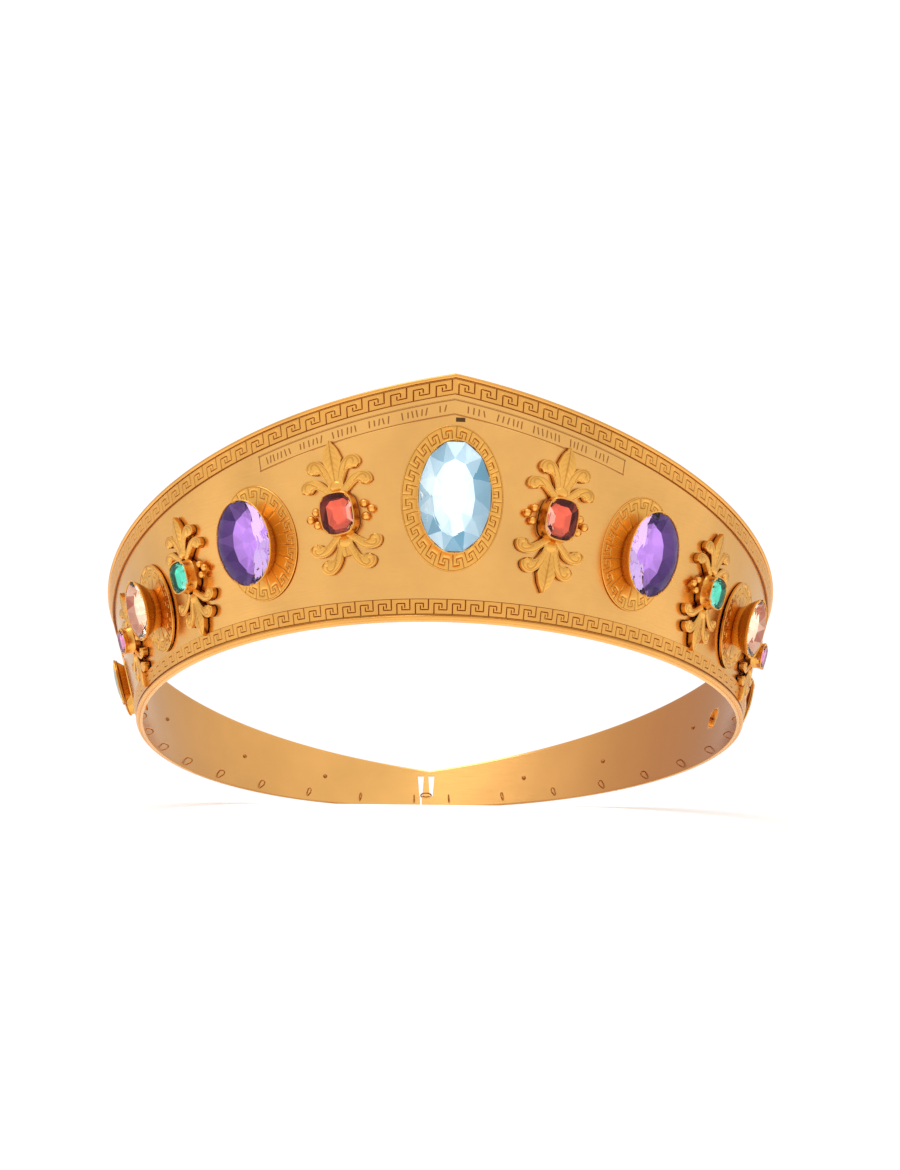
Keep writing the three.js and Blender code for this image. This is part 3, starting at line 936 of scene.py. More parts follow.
@dataclass
class Stone:
    """A cut stone and the foil behind it.

    Attributes:
        kind: the stone's name without its place.
        size: width and height.
        girdle: how far its widest line stands off the sheet.
        floor: level of the floor of its cup.
        clear: room between that floor and the stone.
        seed: start of the random tones of the foil's facets, which paint their glints.
        shade: how much darker the foil's lowest facets are, as painted shade.
        narrow: width of the bright middle of a round stone's foil, in shares of its height.
    """

    kind: str
    size: tuple[float, float]
    girdle: float
    floor: float = 1.35
    clear: float = 0.3
    seed: int = 3
    shade: float = 0.35
    narrow: float = 0.85

    @property
    def table(self) -> float:
        """The level of the stone's flat top."""
        return self.girdle + 0.2 + self.size[0] / 2 * 0.16

    def _corners(self, share: float, level: float, turn: float, count: int) -> Array:
        """A ring of corners, round or with cut corners.

        Args:
            share: share of the full size.
            level: how far off the sheet.
            turn: turn of a round ring, in steps.
            count: corners of a round ring.

        Returns:
            Rows of x, y, z.
        """
        half_x, half_y = self.size[0] / 2, self.size[1] / 2
        if GEMS[self.kind][2] is Cut.STEP:
            chop = 0.42 * half_x
            x, y = half_x, half_y
            ring = np.array([[x, y - chop], [x - chop, y], [chop - x, y], [-x, y - chop],
                             [-x, chop - y], [chop - x, -y], [x - chop, -y], [x, chop - y]])
            return np.column_stack([ring * share, np.full(8, level)])
        angle = (np.arange(count) + turn) * 2 * math.pi / count
        return np.column_stack([half_x * share * np.cos(angle), half_y * share * np.sin(angle),
                                np.full(count, level)])

    def _levels(self) -> Array:
        """All corners of the stone.

        Returns:
            Rows of x, y, z.
        """
        g, t, low = self.girdle, self.table, self.floor + self.clear
        deep = g - low
        cut = GEMS[self.kind][2]
        if cut is Cut.CABOCHON:
            rows = [(0.999 * math.cos(a), g + (t - g + 0.3) * math.sin(a))
                    for a in np.linspace(0, 1.45, 9)]
            return np.vstack([self._corners(0.8, g - deep * 0.4, 0, 32)]
                             + [self._corners(s, z, 0, 32) for s, z in rows])
        if cut is Cut.STEP:
            rows = [(0.68, t), (0.87, t - (t - g) * 0.42), (1.0, g + 0.12), (1.0, g - 0.12),
                    (0.74, g - deep * 0.44), (0.3, low + 0.05)]
            return np.vstack([self._corners(s, z, 0, 8) for s, z in rows])
        n = 12
        return np.vstack([
            self._corners(0.7, t, 0.5, n), self._corners(0.87, t - (t - g) * 0.4, 0, n),
            self._corners(1.0, g + 0.14, 0.5, n * 2), self._corners(1.0, g - 0.14, 0.5, n * 2),
            self._corners(0.72, g - deep * 0.44, 0, n), self._corners(0.25, low, 0.5, n)])

    def build(self, name: str, seat: Seat) -> None:
        """Makes the stone and its foil and dresses them.

        Args:
            name: the solid's name.
            seat: where it sits.
        """
        gem, foil, cut = GEMS[self.kind]
        mesh = bpy.data.meshes.new(name)
        made = bmesh.new()
        for point in seat.put(self._levels()) * METRES:
            made.verts.new(point)
        bmesh.ops.convex_hull(made, input=made.verts)
        loose = [v for v in made.verts if not v.link_faces]
        bmesh.ops.delete(made, geom=loose, context="VERTS")
        bmesh.ops.dissolve_limit(made, angle_limit=0.01, verts=made.verts, edges=made.edges)
        bmesh.ops.recalc_face_normals(made, faces=made.faces)
        made.to_mesh(mesh)
        made.free()
        if cut is Cut.CABOCHON:
            mesh.polygons.foreach_set("use_smooth", [True] * len(mesh.polygons))
        dress(f"{name}_cut", mesh, gem, name)
        self._foil(f"{name}_foil", seat, foil)

    def _foil(self, name: str, seat: Seat, foil: FoilFinish) -> None:
        """Makes the thin foil below the stone, with tones on its facets that paint glints and shade.

        Args:
            name: the piece's name.
            seat: where the stone sits.
            foil: what it is made of.
        """
        step = GEMS[self.kind][2] is Cut.STEP
        n = 8 if step else 12
        low = self.floor + self.clear
        deep = self.girdle - low
        turns = (0.0, 0.0, 0.0) if step else (0.5, 0.0, 0.5)
        narrow = 1.0 if step else self.narrow
        levels = ((1.0, 1.0, self.girdle - 0.3), (0.67, narrow, self.girdle - deep * 0.7),
                  (0.36, narrow, low - 0.1))
        rings = [self._corners(share, level, turn, n) * np.array([across, 1.0, 1.0])
                 for (share, across, level), turn in zip(levels, turns)]
        top = np.vstack([*rings, [[0.0, 0.0, low - 0.1]]])
        under = top - np.array([0.0, 0.0, 0.08])
        last, base = 3 * n, 3 * n + 1
        random = np.random.default_rng(self.seed + int(self.size[0] * 100))
        faces: list[tuple[int, ...]] = []
        tones: list[float] = []
        # Each facet gets a random tone as a painted glint; the outer row stays darker as painted shade
        # at the edge, and the lowest facets darker still.
        for row, (dark, light) in enumerate(((0.0, foil.edge), (0.74, 1.0))):
            for i in range(n):
                a, b = row * n + i, row * n + (i + 1) % n
                c, d = a + n, b + n
                pair = ((a, b, d), (a, d, c)) if turns[row] > turns[row + 1] else ((a, b, c), (b, d, c))
                for face in pair:
                    faces.append(face)
                    low_down = max(0.0, -float(top[list(face), 1].mean()) / self.size[1] * 2)
                    tones.append(float(random.uniform(dark, light)) * (1 - self.shade * low_down))
        for i in range(n):
            faces.append((2 * n + i, 2 * n + (i + 1) % n, last))
            tones.append(float(random.uniform(0.8, 1.0)))
        for face in list(faces):
            faces.append(tuple(base + corner for corner in reversed(face)))
            tones.append(0.5)
        for i in range(n):
            j = (i + 1) % n
            faces.append((j, i, base + i, base + j))
            tones.append(0.3)
        mesh = bpy.data.meshes.new(name)
        mesh.from_pydata((seat.put(np.vstack([top, under])) * METRES).tolist(), [], faces)
        mark = mesh.attributes.new("facet", "FLOAT", "FACE")
        mark.data.foreach_set("value", np.array(tones, np.float32))
        dress(name, mesh, foil)


@dataclass
class Cup:
    """The deep closed cup round a stone, with its rolled edge and small claws.

    Attributes:
        stone: the stone in it.
        foot: how far its foot reaches out from the stone's own size.
        bezel: how far its edge stands above the stone's widest line.
        groups: groups of three claws.
        square: 1 for a round cup, less for a squarer one.
    """

    stone: Stone
    foot: float = 0.35
    bezel: float = 0.35
    groups: int = 8
    square: float = 1.0

    def rows(self, top: float) -> list[tuple[float, float, float]]:
        """The cup's profile as [way out from the stone, level, patina or painted shade], from its foot
        to its floor.

        Args:
            top: the level that its foot stands on.

        Returns:
            The rows of the profile.
        """
        edge = self.stone.girdle + self.bezel
        foot = self.foot
        high = edge - top
        # The tone paints shade where the foot meets the plate and inside the cup below the stone.
        return [
            (foot, top, 0.5), (foot + 0.04 * high, top + 0.03 * high, 0.1),
            (foot * 0.8, top + 0.18 * high, 0.0), (foot * 0.45, top + 0.48 * high, 0.0),
            (foot * 0.1 + 0.1, top + 0.8 * high, 0.0), (0.34, edge - 0.3, 0.0),
            (0.36, edge - 0.1, 0.0), (0.28, edge, 0.0), (0.1, edge - 0.02, 0.0),
            (0.0, self.stone.girdle + 0.16, 0.5), (0.06, self.stone.girdle - 0.4, 0.9),
        ]

    def cavity(self) -> tuple[tuple[Array, float], tuple[Array, float]]:
        """The two lowest lines inside the cup.

        Returns:
            For each the way out from the stone and the level.
        """
        half = np.array(self.stone.size) / 2
        deep = self.stone.girdle - self.stone.floor
        return ((-0.14 * half, self.stone.girdle - deep * 0.5), (-0.54 * half, self.stone.floor))

    def round_about(self, turn: Array | float) -> tuple[Array, Array]:
        """Places round the cup, squarer where its stone is.

        Args:
            turn: turns in radians.

        Returns:
            Across and up, each from -1 to 1.
        """
        across, up = np.cos(turn), np.sin(turn)
        return (np.sign(across) * np.abs(across) ** self.square,
                np.sign(up) * np.abs(up) ** self.square)

    def claws(self, shape: Shape, seat: Seat) -> None:
        """Adds groups of three small claws that lean over the stone's edge.

        Args:
            shape: the piece that the claws belong to.
            seat: where the cup sits.
        """
        half = np.array(self.stone.size) / 2 + 0.14
        edge = self.stone.girdle + self.bezel
        size = min(0.22, self.stone.size[0] * 0.03)
        perimeter = 2 * math.pi * float(half.mean())
        gap = 2 * math.pi * size * 2.4 / perimeter
        for group in range(self.groups):
            for step in (-1, 0, 1):
                turn = (group + 0.5) * 2 * math.pi / self.groups + step * gap
                inward = -np.array([math.cos(turn), math.sin(turn)])
                middle = half * np.array(self.round_about(turn))
                centre = np.array([*(middle + inward * 0.05), edge - 0.02])
                long = np.array([*inward, 0.25]) / math.hypot(1, 0.25)
                side = np.array([-inward[1], inward[0], 0.0])
                axes = np.stack([long, side, np.cross(long, side)])
                sizes = (size * 1.9, size * 0.8, size)
                local = Shape()
                local.bead(centre, sizes, axes, turns=8, levels=6)
                for block in local.points:
                    block[:] = seat.put(block)
                self._merge(shape, local)

    @staticmethod
    def _merge(shape: Shape, other: Shape) -> None:
        """Adds another shape's points and faces to a shape.

        Args:
            shape: the shape that grows.
            other: the shape that is added.
        """
        shape.points.extend(other.points)
        shape.patina_and_shade.extend(other.patina_and_shade)
        shape.quads.extend(block + shape.count for block in other.quads)
        shape.triangles.extend(block + shape.count for block in other.triangles)
        shape.count += other.count


@dataclass
class OvalSetting:
    """An oval flange with the meander cut round it, and a cup on top.

    Attributes:
        cup: the cup.
        rim: width of the flange at the side and the top.
        units: key units round it.
        bend: radius that it is bent to.
        plate: thickness of the flange.
        pedestal: share of the stone's size that the foot below it has.
        low: room between the flange and the sheet.
    """

    cup: Cup
    rim: tuple[float, float]
    units: int
    bend: float = 75.0
    plate: float = 0.45
    pedestal: float = 0.3
    low: float = 0.12

    def build(self, name: str, seat: Seat) -> None:
        """Makes the setting and dresses it.

        Args:
            name: the solid's name.
            seat: where it sits.
        """
        stone = self.cup.stone
        half = np.array(stone.size) / 2
        rim = np.array(self.rim)
        fine = np.linspace(0, 2 * math.pi, 4001)
        middle = half + rim * 0.45
        steps = np.hypot(np.diff(middle[0] * np.cos(fine)), np.diff(middle[1] * np.sin(fine)))
        way = np.concatenate([[0], np.cumsum(steps)])
        pitch = way[-1] / self.units
        width = float(rim.mean()) - 0.38 - max(self.cup.foot, 0.1)
        meander = Meander(groove=min(0.2, width * 0.075))
        unit = meander.along(self.units, pitch)
        count = len(unit)
        turn = np.interp(unit / self.units * way[-1], way, fine)
        foot = self.cup.foot
        top = self.low + self.plate
        rows: list[Array] = []
        tones: list[Array] = []

        def add(out: Array, level: Array | float, tone: Array | float) -> None:
            """Adds one row of the profile, bent with the flange.

            Args:
                out: way out from the stone's own size.
                level: how far off the sheet, before the bend.
                tone: the patina or painted shade.
            """
            reach = half + out
            side = reach[0] * np.cos(turn)
            follow = np.clip(1 - (level - top) / (stone.floor - top), 0, 1)
            fall = follow * side**2 / (2 * self.bend)
            rows.append(np.column_stack([side, reach[1] * np.sin(turn), level - fall]))
            tones.append(np.broadcast_to(tone, (count,)).astype(float))

        # The foot below the flange, the flange's underside and edge and the step inside its lip are
        # darkened as painted shade; the keys' cut lines carry patina.
        small = half * (self.pedestal - 1)
        add(small, 0.0, 1.0)
        add(small, self.low, 1.0)
        add(rim - 0.1, self.low, 0.8)
        add(rim, self.low + 0.1, 0.3)
        add(rim, top - 0.1, 0.0)
        add(rim - 0.1, top, 0.0)
        lip = rim - 0.26
        add(lip, top, 0.0)
        add(lip - 0.06, top - 0.1, 0.8)
        for v in meander.stops(width, upward=True):
            out = (lip - 0.12) * (1 - v) + max(foot, 0.1) * v
            cut = meander.depth(unit, np.full(count, 1 - v), pitch, width)
            add(out, top - 0.03 - 0.16 * cut, 0.85 * cut)
        for out, level, tone in self.cup.rows(top - 0.04):
            add(np.array([out, out]), level, tone)
        # Painted shade inside the cup below the stone.
        for out, level in self.cup.cavity():
            add(out, level, 0.9)
        shape = Shape()
        points = seat.put(np.stack(rows))
        shape.grid(points, np.stack(tones), wrap_columns=True)
        shape.cap(points[0])
        shape.cap(points[-1])
        self.cup.claws(shape, seat)
        shape.piece(f"{name}_relief", MOUNT_GOLD, name, smooth=38)


@dataclass(frozen=True)
class Leaf:
    """One leaf of a lily, drawn in shares of half the mount's length.

    Attributes:
        spine: points along its middle.
        widths: half its width at each of them.
        curl: whether its end is a curled head with an eye.
    """

    spine: tuple[tuple[float, float], ...]
    widths: tuple[float, ...]
    curl: bool

    def along(self, count: int) -> tuple[Array, Array, Array]:
        """The smooth spine, its normals and its half widths.

        Args:
            count: how many samples.

        Returns:
            Points, normals and half widths.
        """
        knots = np.array(self.spine, float)
        padded = np.vstack([2 * knots[0] - knots[1], knots, 2 * knots[-1] - knots[-2]])
        t = np.linspace(0, len(knots) - 1, count)
        i = np.minimum(t.astype(int), len(knots) - 2)
        f = (t - i)[:, None]
        a, b, c, d = padded[i], padded[i + 1], padded[i + 2], padded[i + 3]
        points = 0.5 * (2 * b + (c - a) * f + (2 * a - 5 * b + 4 * c - d) * f**2
                        + (3 * b - a - 3 * c + d) * f**3)
        way = np.gradient(points, axis=0)
        way = way / np.linalg.norm(way, axis=1, keepdims=True)
        normal = np.column_stack([-way[:, 1], way[:, 0]])
        width = np.interp(t, np.arange(len(knots)), self.widths)
        share = t / (len(knots) - 1)
        if self.curl:
            width = width * np.sqrt(np.clip(1 - np.clip((share - 0.8) / 0.2, 0, 1) ** 2, 0.004, 1))
        return points, normal, width


CENTRE_LEAF = Leaf(((0, 0.34), (0, 0.48), (0, 0.6), (0, 0.74), (0, 0.88), (0, 1.0)),
                   (0.07, 0.05, 0.085, 0.135, 0.085, 0.004), False)
STUB_LEAF = Leaf(((0, 0.34), (0, 0.43), (0, 0.5), (0.01, 0.56)), (0.07, 0.055, 0.06, 0.06), False)
INNER_SCROLL = Leaf(((0.04, 0.34), (0.085, 0.48), (0.15, 0.62), (0.265, 0.68), (0.32, 0.585)),
                    (0.05, 0.045, 0.06, 0.095, 0.115), True)
OUTER_SCROLL = Leaf(((0.06, 0.27), (0.16, 0.36), (0.28, 0.45), (0.4, 0.43), (0.42, 0.34)),
                    (0.055, 0.05, 0.06, 0.09, 0.105), True)


@dataclass
class LilyMount:
    """A mount of two lilies foot to foot, with a cup for the stone and three beads at each side.

    Attributes:
        cup: the cup.
        length: from tip to tip.
        beads: whether it has the beads.
        broken: whether the lower middle leaf is lost.
        stud: radius of the stud below the cup.
        lift: level of the leaves' lower edges.
        standoff: level of the plate below the relief.
        plate: thickness of that plate.
        bend: radius that the leaves are bent to.
    """

    cup: Cup
    length: float
    beads: bool
    broken: bool = False
    stud: float = 1.4
    lift: float = 0.3
    standoff: float = 1.15
    plate: float = 0.5
    bend: float = 75.0

    def _leaf(self, shape: Shape, seat: Seat, leaf: Leaf, mirror: float, flip: float) -> None:
        """Adds one leaf as a closed domed form with cut lines.

        Args:
            shape: the piece that the leaf belongs to.
            seat: where the mount sits.
            leaf: the drawing.
            mirror: 1 or -1 for the side.
            flip: 1 or -1 for the upper or lower lily.
        """
        half = self.length / 2
        count, across = 36, 19
        spine, normal, width = leaf.along(count)
        s = np.linspace(-1, 1, across)[None, :]
        x = (spine[:, :1] + normal[:, :1] * width[:, None] * s) * half * mirror
        y = (spine[:, 1:] + normal[:, 1:] * width[:, None] * s) * half * flip
        t = np.linspace(0, 1, count)[:, None]
        swell = np.clip(width[:, None] / 0.1, 0.15, 1)
        if leaf.curl:
            dome = 0.34 * swell * (1 - np.abs(s) ** 3)
            edge_line = np.exp(-(((np.abs(s) - 0.74) / 0.08) ** 2)) * (t > 0.15)
            swirl = np.exp(-(((s - 0.45 * np.sin(11 * t)) / 0.1) ** 2)) * (t > 0.4)
            ticks = 0.3 * (np.cos(t * 70) > 0.4) * np.exp(-(((s + 0.3) / 0.25) ** 2)) * (t < 0.6)
            cut = np.clip(edge_line + swirl + ticks, 0, 1)
        else:
            dome = 0.38 * swell * (1 - np.abs(s))
            veins = (np.cos((t * 9 + np.abs(s) * 1.2) * 2 * math.pi) > 0.55) * (np.abs(s) < 0.75)
            cut = np.clip(np.exp(-((s / 0.1) ** 2)) + 0.3 * veins * (t > 0.3), 0, 1)
        top = self.standoff + self.plate + dome - 0.13 * cut
        low = np.full((count, 1), self.lift)
        xs = np.hstack([x, x[:, -1:], x[:, :1]])
        ys = np.hstack([y, y[:, -1:], y[:, :1]])
        zs = np.hstack([top, low, low]) - xs**2 / (2 * self.bend)
        # The cut lines carry patina; the leaf's walls down to the sheet are darkened as painted shade.
        tone = np.hstack([0.7 * cut, low * 0 + 0.8, low * 0 + 0.8])
        rings = seat.put(np.stack([xs, ys, zs], -1))
        shape.loft(rings, tone)
        if leaf.curl:
            eye = np.array([spine[-4, 0] * half * mirror, spine[-4, 1] * half * flip,
                            self.standoff + self.plate + 0.22])
            eye[2] -= eye[0] ** 2 / (2 * self.bend)
            size = 0.035 * half
            self._bead(shape, seat, eye, (size, size, 0.16))

    def _bead(self, shape: Shape, seat: Seat, centre: Array,
              sizes: tuple[float, float, float]) -> None:
        """Adds a bead that is drawn on the board.

        Args:
            shape: the piece that the bead belongs to.
            seat: where the mount sits.
            centre: the bead's middle on the board.
            sizes: its half sizes.
        """
        local = Shape()
        local.bead(centre, sizes, turns=12, levels=7)
        for block in local.points:
            block[:] = seat.put(block)
        Cup._merge(shape, local)

    def build(self, name: str, seat: Seat) -> None:
        """Makes the mount and dresses it.

        Args:
            name: the solid's name.
            seat: where it sits.
        """
        shape = Shape()
        half = self.length / 2
        for flip in (1.0, -1.0):
            short = self.broken and flip < 0
            self._leaf(shape, seat, STUB_LEAF if short else CENTRE_LEAF, 1.0, flip)
            for mirror in (1.0, -1.0):
                self._leaf(shape, seat, INNER_SCROLL, mirror, flip)
                self._leaf(shape, seat, OUTER_SCROLL, mirror, flip)
            boss = np.array([0.0, 0.37 * flip * half, self.standoff + self.plate])
            self._bead(shape, seat, boss, (0.09 * half, 0.08 * half, 0.6))
        if self.beads:
            radius = 0.06 * half
            for side in (-1, 1):
                for x, y in ((0.34, 0.062), (0.34, -0.062), (0.43, 0.0)):
                    drop = (x * half) ** 2 / (2 * self.bend)
                    centre = np.array([side * x * half, y * half * 1.4, self.standoff + 0.3 - drop])
                    self._bead(shape, seat, centre, (radius, radius, radius * 0.9))
        stone = self.cup.stone
        turn = np.arange(48) * 2 * math.pi / 48
        hw, hh = np.array(stone.size) / 2
        inward = (self.stud - hw, self.stud - hh)
        # The stud and the foot under the cup are darkened as painted shade, and so is the cavity below
        # the stone.
        rows = [(*inward, 0.0, 1.0), (*inward, self.lift, 1.0)]
        rows += [(self.cup.foot, self.cup.foot, self.lift, 0.8)]
        top = self.standoff + self.plate
        rows += [(out, out, level, tone) for out, level, tone in self.cup.rows(top)]
        rows += [(out[0], out[1], level, 0.9) for out, level in self.cup.cavity()]
        across, up = self.cup.round_about(turn)
        rings = np.stack([np.column_stack([(hw + a) * across, (hh + b) * up, np.full(48, z)])
                          for a, b, z, _ in rows])
        tones = np.repeat(np.array([r[3] for r in rows])[:, None], 48, axis=1)
        shape.loft(seat.put(rings), tones)
        self.cup.claws(shape, seat)
        shape.piece(f"{name}_relief", MOUNT_GOLD, name, smooth=42)


@dataclass(frozen=True)
class Ornament:
    """One ornament of the row: its stone, its place and its mount.

    Attributes:
        name: name of its solids.
        stone: width and height of the stone.
        girdle: level of the stone's widest line.
        rise: its middle's share of the sheet's height.
        gap: free way to the last ornament on the left and right.
        rim: width of the flange at the side and the top, for an oval.
        length: length of a lily mount.
        units: key units round an oval's flange.
        hole: whether the sheet is open behind it.
    """

    name: str
    stone: tuple[float, float]
    girdle: float
    rise: float
    gap: tuple[float, float]
    rim: tuple[float, float] = (0.0, 0.0)
    length: float = 0.0
    units: int = 0
    hole: bool = False

    @property
    def half_width(self) -> float:
        """Half of the way that it takes up along the sheet."""
        return self.length * 0.53 / 2 if self.length else self.stone[0] / 2 + self.rim[0]

    @property
    def kind(self) -> str:
        """The stone's name without its place."""
        return self.name.replace("_back", "")


CENTRE = Ornament("aquamarine", (18.5, 28.4), 6.4, 0.495, (0, 0), rim=(3.8, 4.4), units=24)
ROW: tuple[Ornament, ...] = (
    Ornament("garnet", (8.4, 10.3), 4.6, 0.49, (2.2, 1.6), length=38),
    Ornament("amethyst", (16.4, 21.9), 6.4, 0.465, (1.0, 3.3), rim=(3.4, 4.0), units=20),
    Ornament("emerald", (6.6, 7.7), 4.4, 0.455, (4.2, 7.1), length=32.5),
    Ornament("topaz", (10.8, 15.5), 6.2, 0.42, (1.9, 2.7), rim=(3.2, 4.1), units=16),
    Ornament("pink", (5.4, 6.1), 4.1, 0.39, (3.7, 1.3), length=27),
    Ornament("opal", (8, 12.4), 2.9, 0.5, (25.4, 27.4), rim=(2.2, 2.6), units=14),
    Ornament("turquoise", (4.4, 5), 3.8, 0.45, (0.8, 1), length=20, hole=True),
    Ornament("citrine", (6.8, 9.4), 4, 0.48, (1.2, 1.2), rim=(2.1, 2.5), units=12),
    Ornament("garnet_back", (4, 4.6), 3.8, 0.49, (1.2, 1.2), length=17.5),
    Ornament("amethyst_back", (5.6, 7.6), 3.8, 0.49, (4, 4), rim=(1.8, 2.1), units=10),
    Ornament("emerald_back", (3.2, 3.8), 3.6, 0.5, (5, 5), length=14),
    Ornament("topaz_back", (4.4, 5.6), 3.6, 0.5, (4, 4), rim=(1.5, 1.8), units=8),
    Ornament("pink_back", (2.8, 3.2), 3.5, 0.51, (4.5, 4.5), length=11),
)


@dataclass
class OrnamentRow:
    """All ornaments, set out from the middle to the back on both sides.

    Attributes:
        plan: the ring.
        tilt: lean of their tops towards the middle or the back.
        lily_floor: level of the floor of a lily's cup.
        oval_floor: level of the floor of an oval setting's cup.
        stud: radius of a lily's stud.
        stud_over_hole: the same where the sheet is open behind it.
        foot_share: how far an oval's cup draws in, in shares of the stone's width.
        deepest_foot: the most that it draws in.
        flat_bend: bend of the topaz flanges, which are nearly flat.
        thick_plate: thickness of the topaz flanges.
        beaded: how many ornaments from the middle may carry beads.
    """

    plan: RingPlan
    tilt: float = math.radians(5.5)
    lily_floor: float = 1.95
    oval_floor: float = 1.35
    stud: float = 1.4
    stud_over_hole: float = 3.4
    foot_share: float = 0.25
    deepest_foot: float = 2.8
    flat_bend: float = 300.0
    thick_plate: float = 0.8
    beaded: int = 6

    def build(self) -> list[tuple[float, float]]:
        """Makes all ornaments.

        Returns:
            Way along and rise of each place where the sheet is open.
        """
        holes: list[tuple[float, float]] = []
        rise = CENTRE.rise * float(self.plan.height_at(np.array(0.0)))
        self._one(CENTRE, self.plan.seat(0.0, rise), "", False, True)
        for index, side in enumerate(Side):
            edge = CENTRE.half_width
            for number, ornament in enumerate(ROW):
                arc = side.value * (edge + ornament.gap[index] + ornament.half_width)
                edge = abs(arc) + ornament.half_width
                rise = ornament.rise * float(self.plan.height_at(np.array(arc)))
                seat = self.plan.seat(arc, rise, side.value * self.tilt)
                broken = ornament.name == "garnet" and side is Side.LEFT
                self._one(ornament, seat, f"_{side.word}", broken, number < self.beaded)
                if ornament.hole:
                    holes.append((arc, rise))
        return holes

    def _one(self, ornament: Ornament, seat: Seat, ending: str, broken: bool, beads: bool) -> None:
        """Makes one ornament: its mount or setting, and its stone.

        Args:
            ornament: what it is.
            seat: where it sits.
            ending: end of its pieces' names.
            broken: whether its lower middle leaf is lost.
            beads: whether a lily has its beads.
        """
        floor = self.lily_floor if ornament.length else self.oval_floor
        stone = Stone(ornament.kind, ornament.stone, ornament.girdle, floor)
        if ornament.length:
            cup = Cup(stone, groups=4, square=0.66 if GEMS[stone.kind][2] is Cut.STEP else 1.0)
            stud = self.stud_over_hole if ornament.hole else self.stud
            mount = LilyMount(cup, ornament.length, beads, broken, stud)
            mount.build(f"{ornament.name}_mount{ending}", seat)
        else:
            foot = -min(self.deepest_foot, self.foot_share * ornament.stone[0])
            cup = Cup(stone, foot, groups=10 if ornament.stone[0] > 8 else 6)
            setting = OvalSetting(cup, ornament.rim, ornament.units)
            if ornament.name == "topaz":
                setting.bend, setting.plate = self.flat_bend, self.thick_plate
            setting.build(f"{ornament.name}_setting{ending}", seat)
        stone.build(f"{ornament.name}{ending}", seat)


@dataclass
class SewingLoops:
    """The small wire loops inside the lower edge that a lining was sewn to.

    Attributes:
        plan: the ring.
        count: how many loops.
        spacing: way from loop to loop.
        first: way along of the first.
        rise: rise of their middles.
        height: height of a loop.
        reach: how far a loop stands off the inner face.
        wire: radius of the wire.
    """

    plan: RingPlan
    count: int = 35
    spacing: float = 15.26
    first: float = -262.4
    rise: float = 3.0
    height: float = 1.8
    reach: float = 1.6
    wire: float = 0.17

    def build(self) -> None:
        """Makes all loops as one piece and dresses it."""
        shape = Shape()
        for index in range(self.count):
            arc = self.first + index * self.spacing
            foot, across, level, up, _ = self.plan.directions(np.array(arc))
            base = foot + up * self.rise - level * (self.plan.sheet - 0.1)
            turn = np.linspace(-0.5 * math.pi, 0.5 * math.pi, 13)
            path = [base - level * self.reach * math.cos(t) + up * self.height / 2 * math.sin(t)
                    for t in turn]
            self._tube(shape, np.array(path), across)
        shape.piece("sewing_loops", SHADED_WIRE_GOLD)

    def _tube(self, shape: Shape, path: Array, side: Array) -> None:
        """Adds a round wire along a flat path.

        Args:
            shape: the piece that the wire belongs to.
            path: points along its middle.
            side: the direction square to the path's plane.
        """
        way = np.gradient(path, axis=0)
        way = way / np.linalg.norm(way, axis=1, keepdims=True)
        other = np.cross(way, side)
        turn = np.arange(8) * 2 * math.pi / 8
        rings = path[:, None] + self.wire * (
            np.cos(turn)[None, :, None] * side + np.sin(turn)[None, :, None] * other[:, None])
        shape.loft(rings)


@dataclass
class Closure:
    """The wire ring through the two windows at the back, and the pins inside the back.

    Attributes:
        plan: the ring of the sheet.
        pitch: way from one window to the other.
        window_low: rise of the windows' foot.
        wire: radius of the wire.
        pins: ways along of the pins.
        pin_size: half sizes of a pin's head.
    """

    plan: RingPlan
    pitch: float = 2.9
    window_low: float = 3.4
    wire: float = 0.2
    pins: tuple[float, ...] = (-179.2, 177.8, -212.1, 211.2, -237.2, 235.2)
    pin_size: tuple[float, float, float] = (0.62, 0.62, 0.42)

    def build(self) -> None:
        """Makes the ring and the pins and dresses them."""
        seat = self.plan.seat(self.plan.length / 2 - self.pitch / 2, self.window_low + 0.4)
        turn = np.arange(40) * 2 * math.pi / 40
        round_wire = np.arange(10) * 2 * math.pi / 10
        radius = self.pitch / 2 + self.wire * np.cos(round_wire)[None, :]
        points = np.stack([radius * np.cos(turn)[:, None],
                           self.wire * np.sin(round_wire)[None, :] + 0 * turn[:, None],
                           radius * np.sin(turn)[:, None] - self.plan.sheet / 2], -1)
        shape = Shape()
        shape.grid(seat.put(points), wrap_rows=True, wrap_columns=True)
        shape.piece("closure_wire", SHADED_WIRE_GOLD, "closure_ring")
        shape = Shape()
        for arc in self.pins:
            foot, across, level, up, _ = self.plan.directions(np.array(arc))
            rise = float(self.plan.height_at(np.array(arc))) / 2
            centre = foot + up * rise - level * (self.plan.sheet + 0.05)
            shape.bead(centre, self.pin_size, np.stack([across, up, -level]), 12, 7)
        shape.piece("pins", SHADED_WIRE_GOLD)


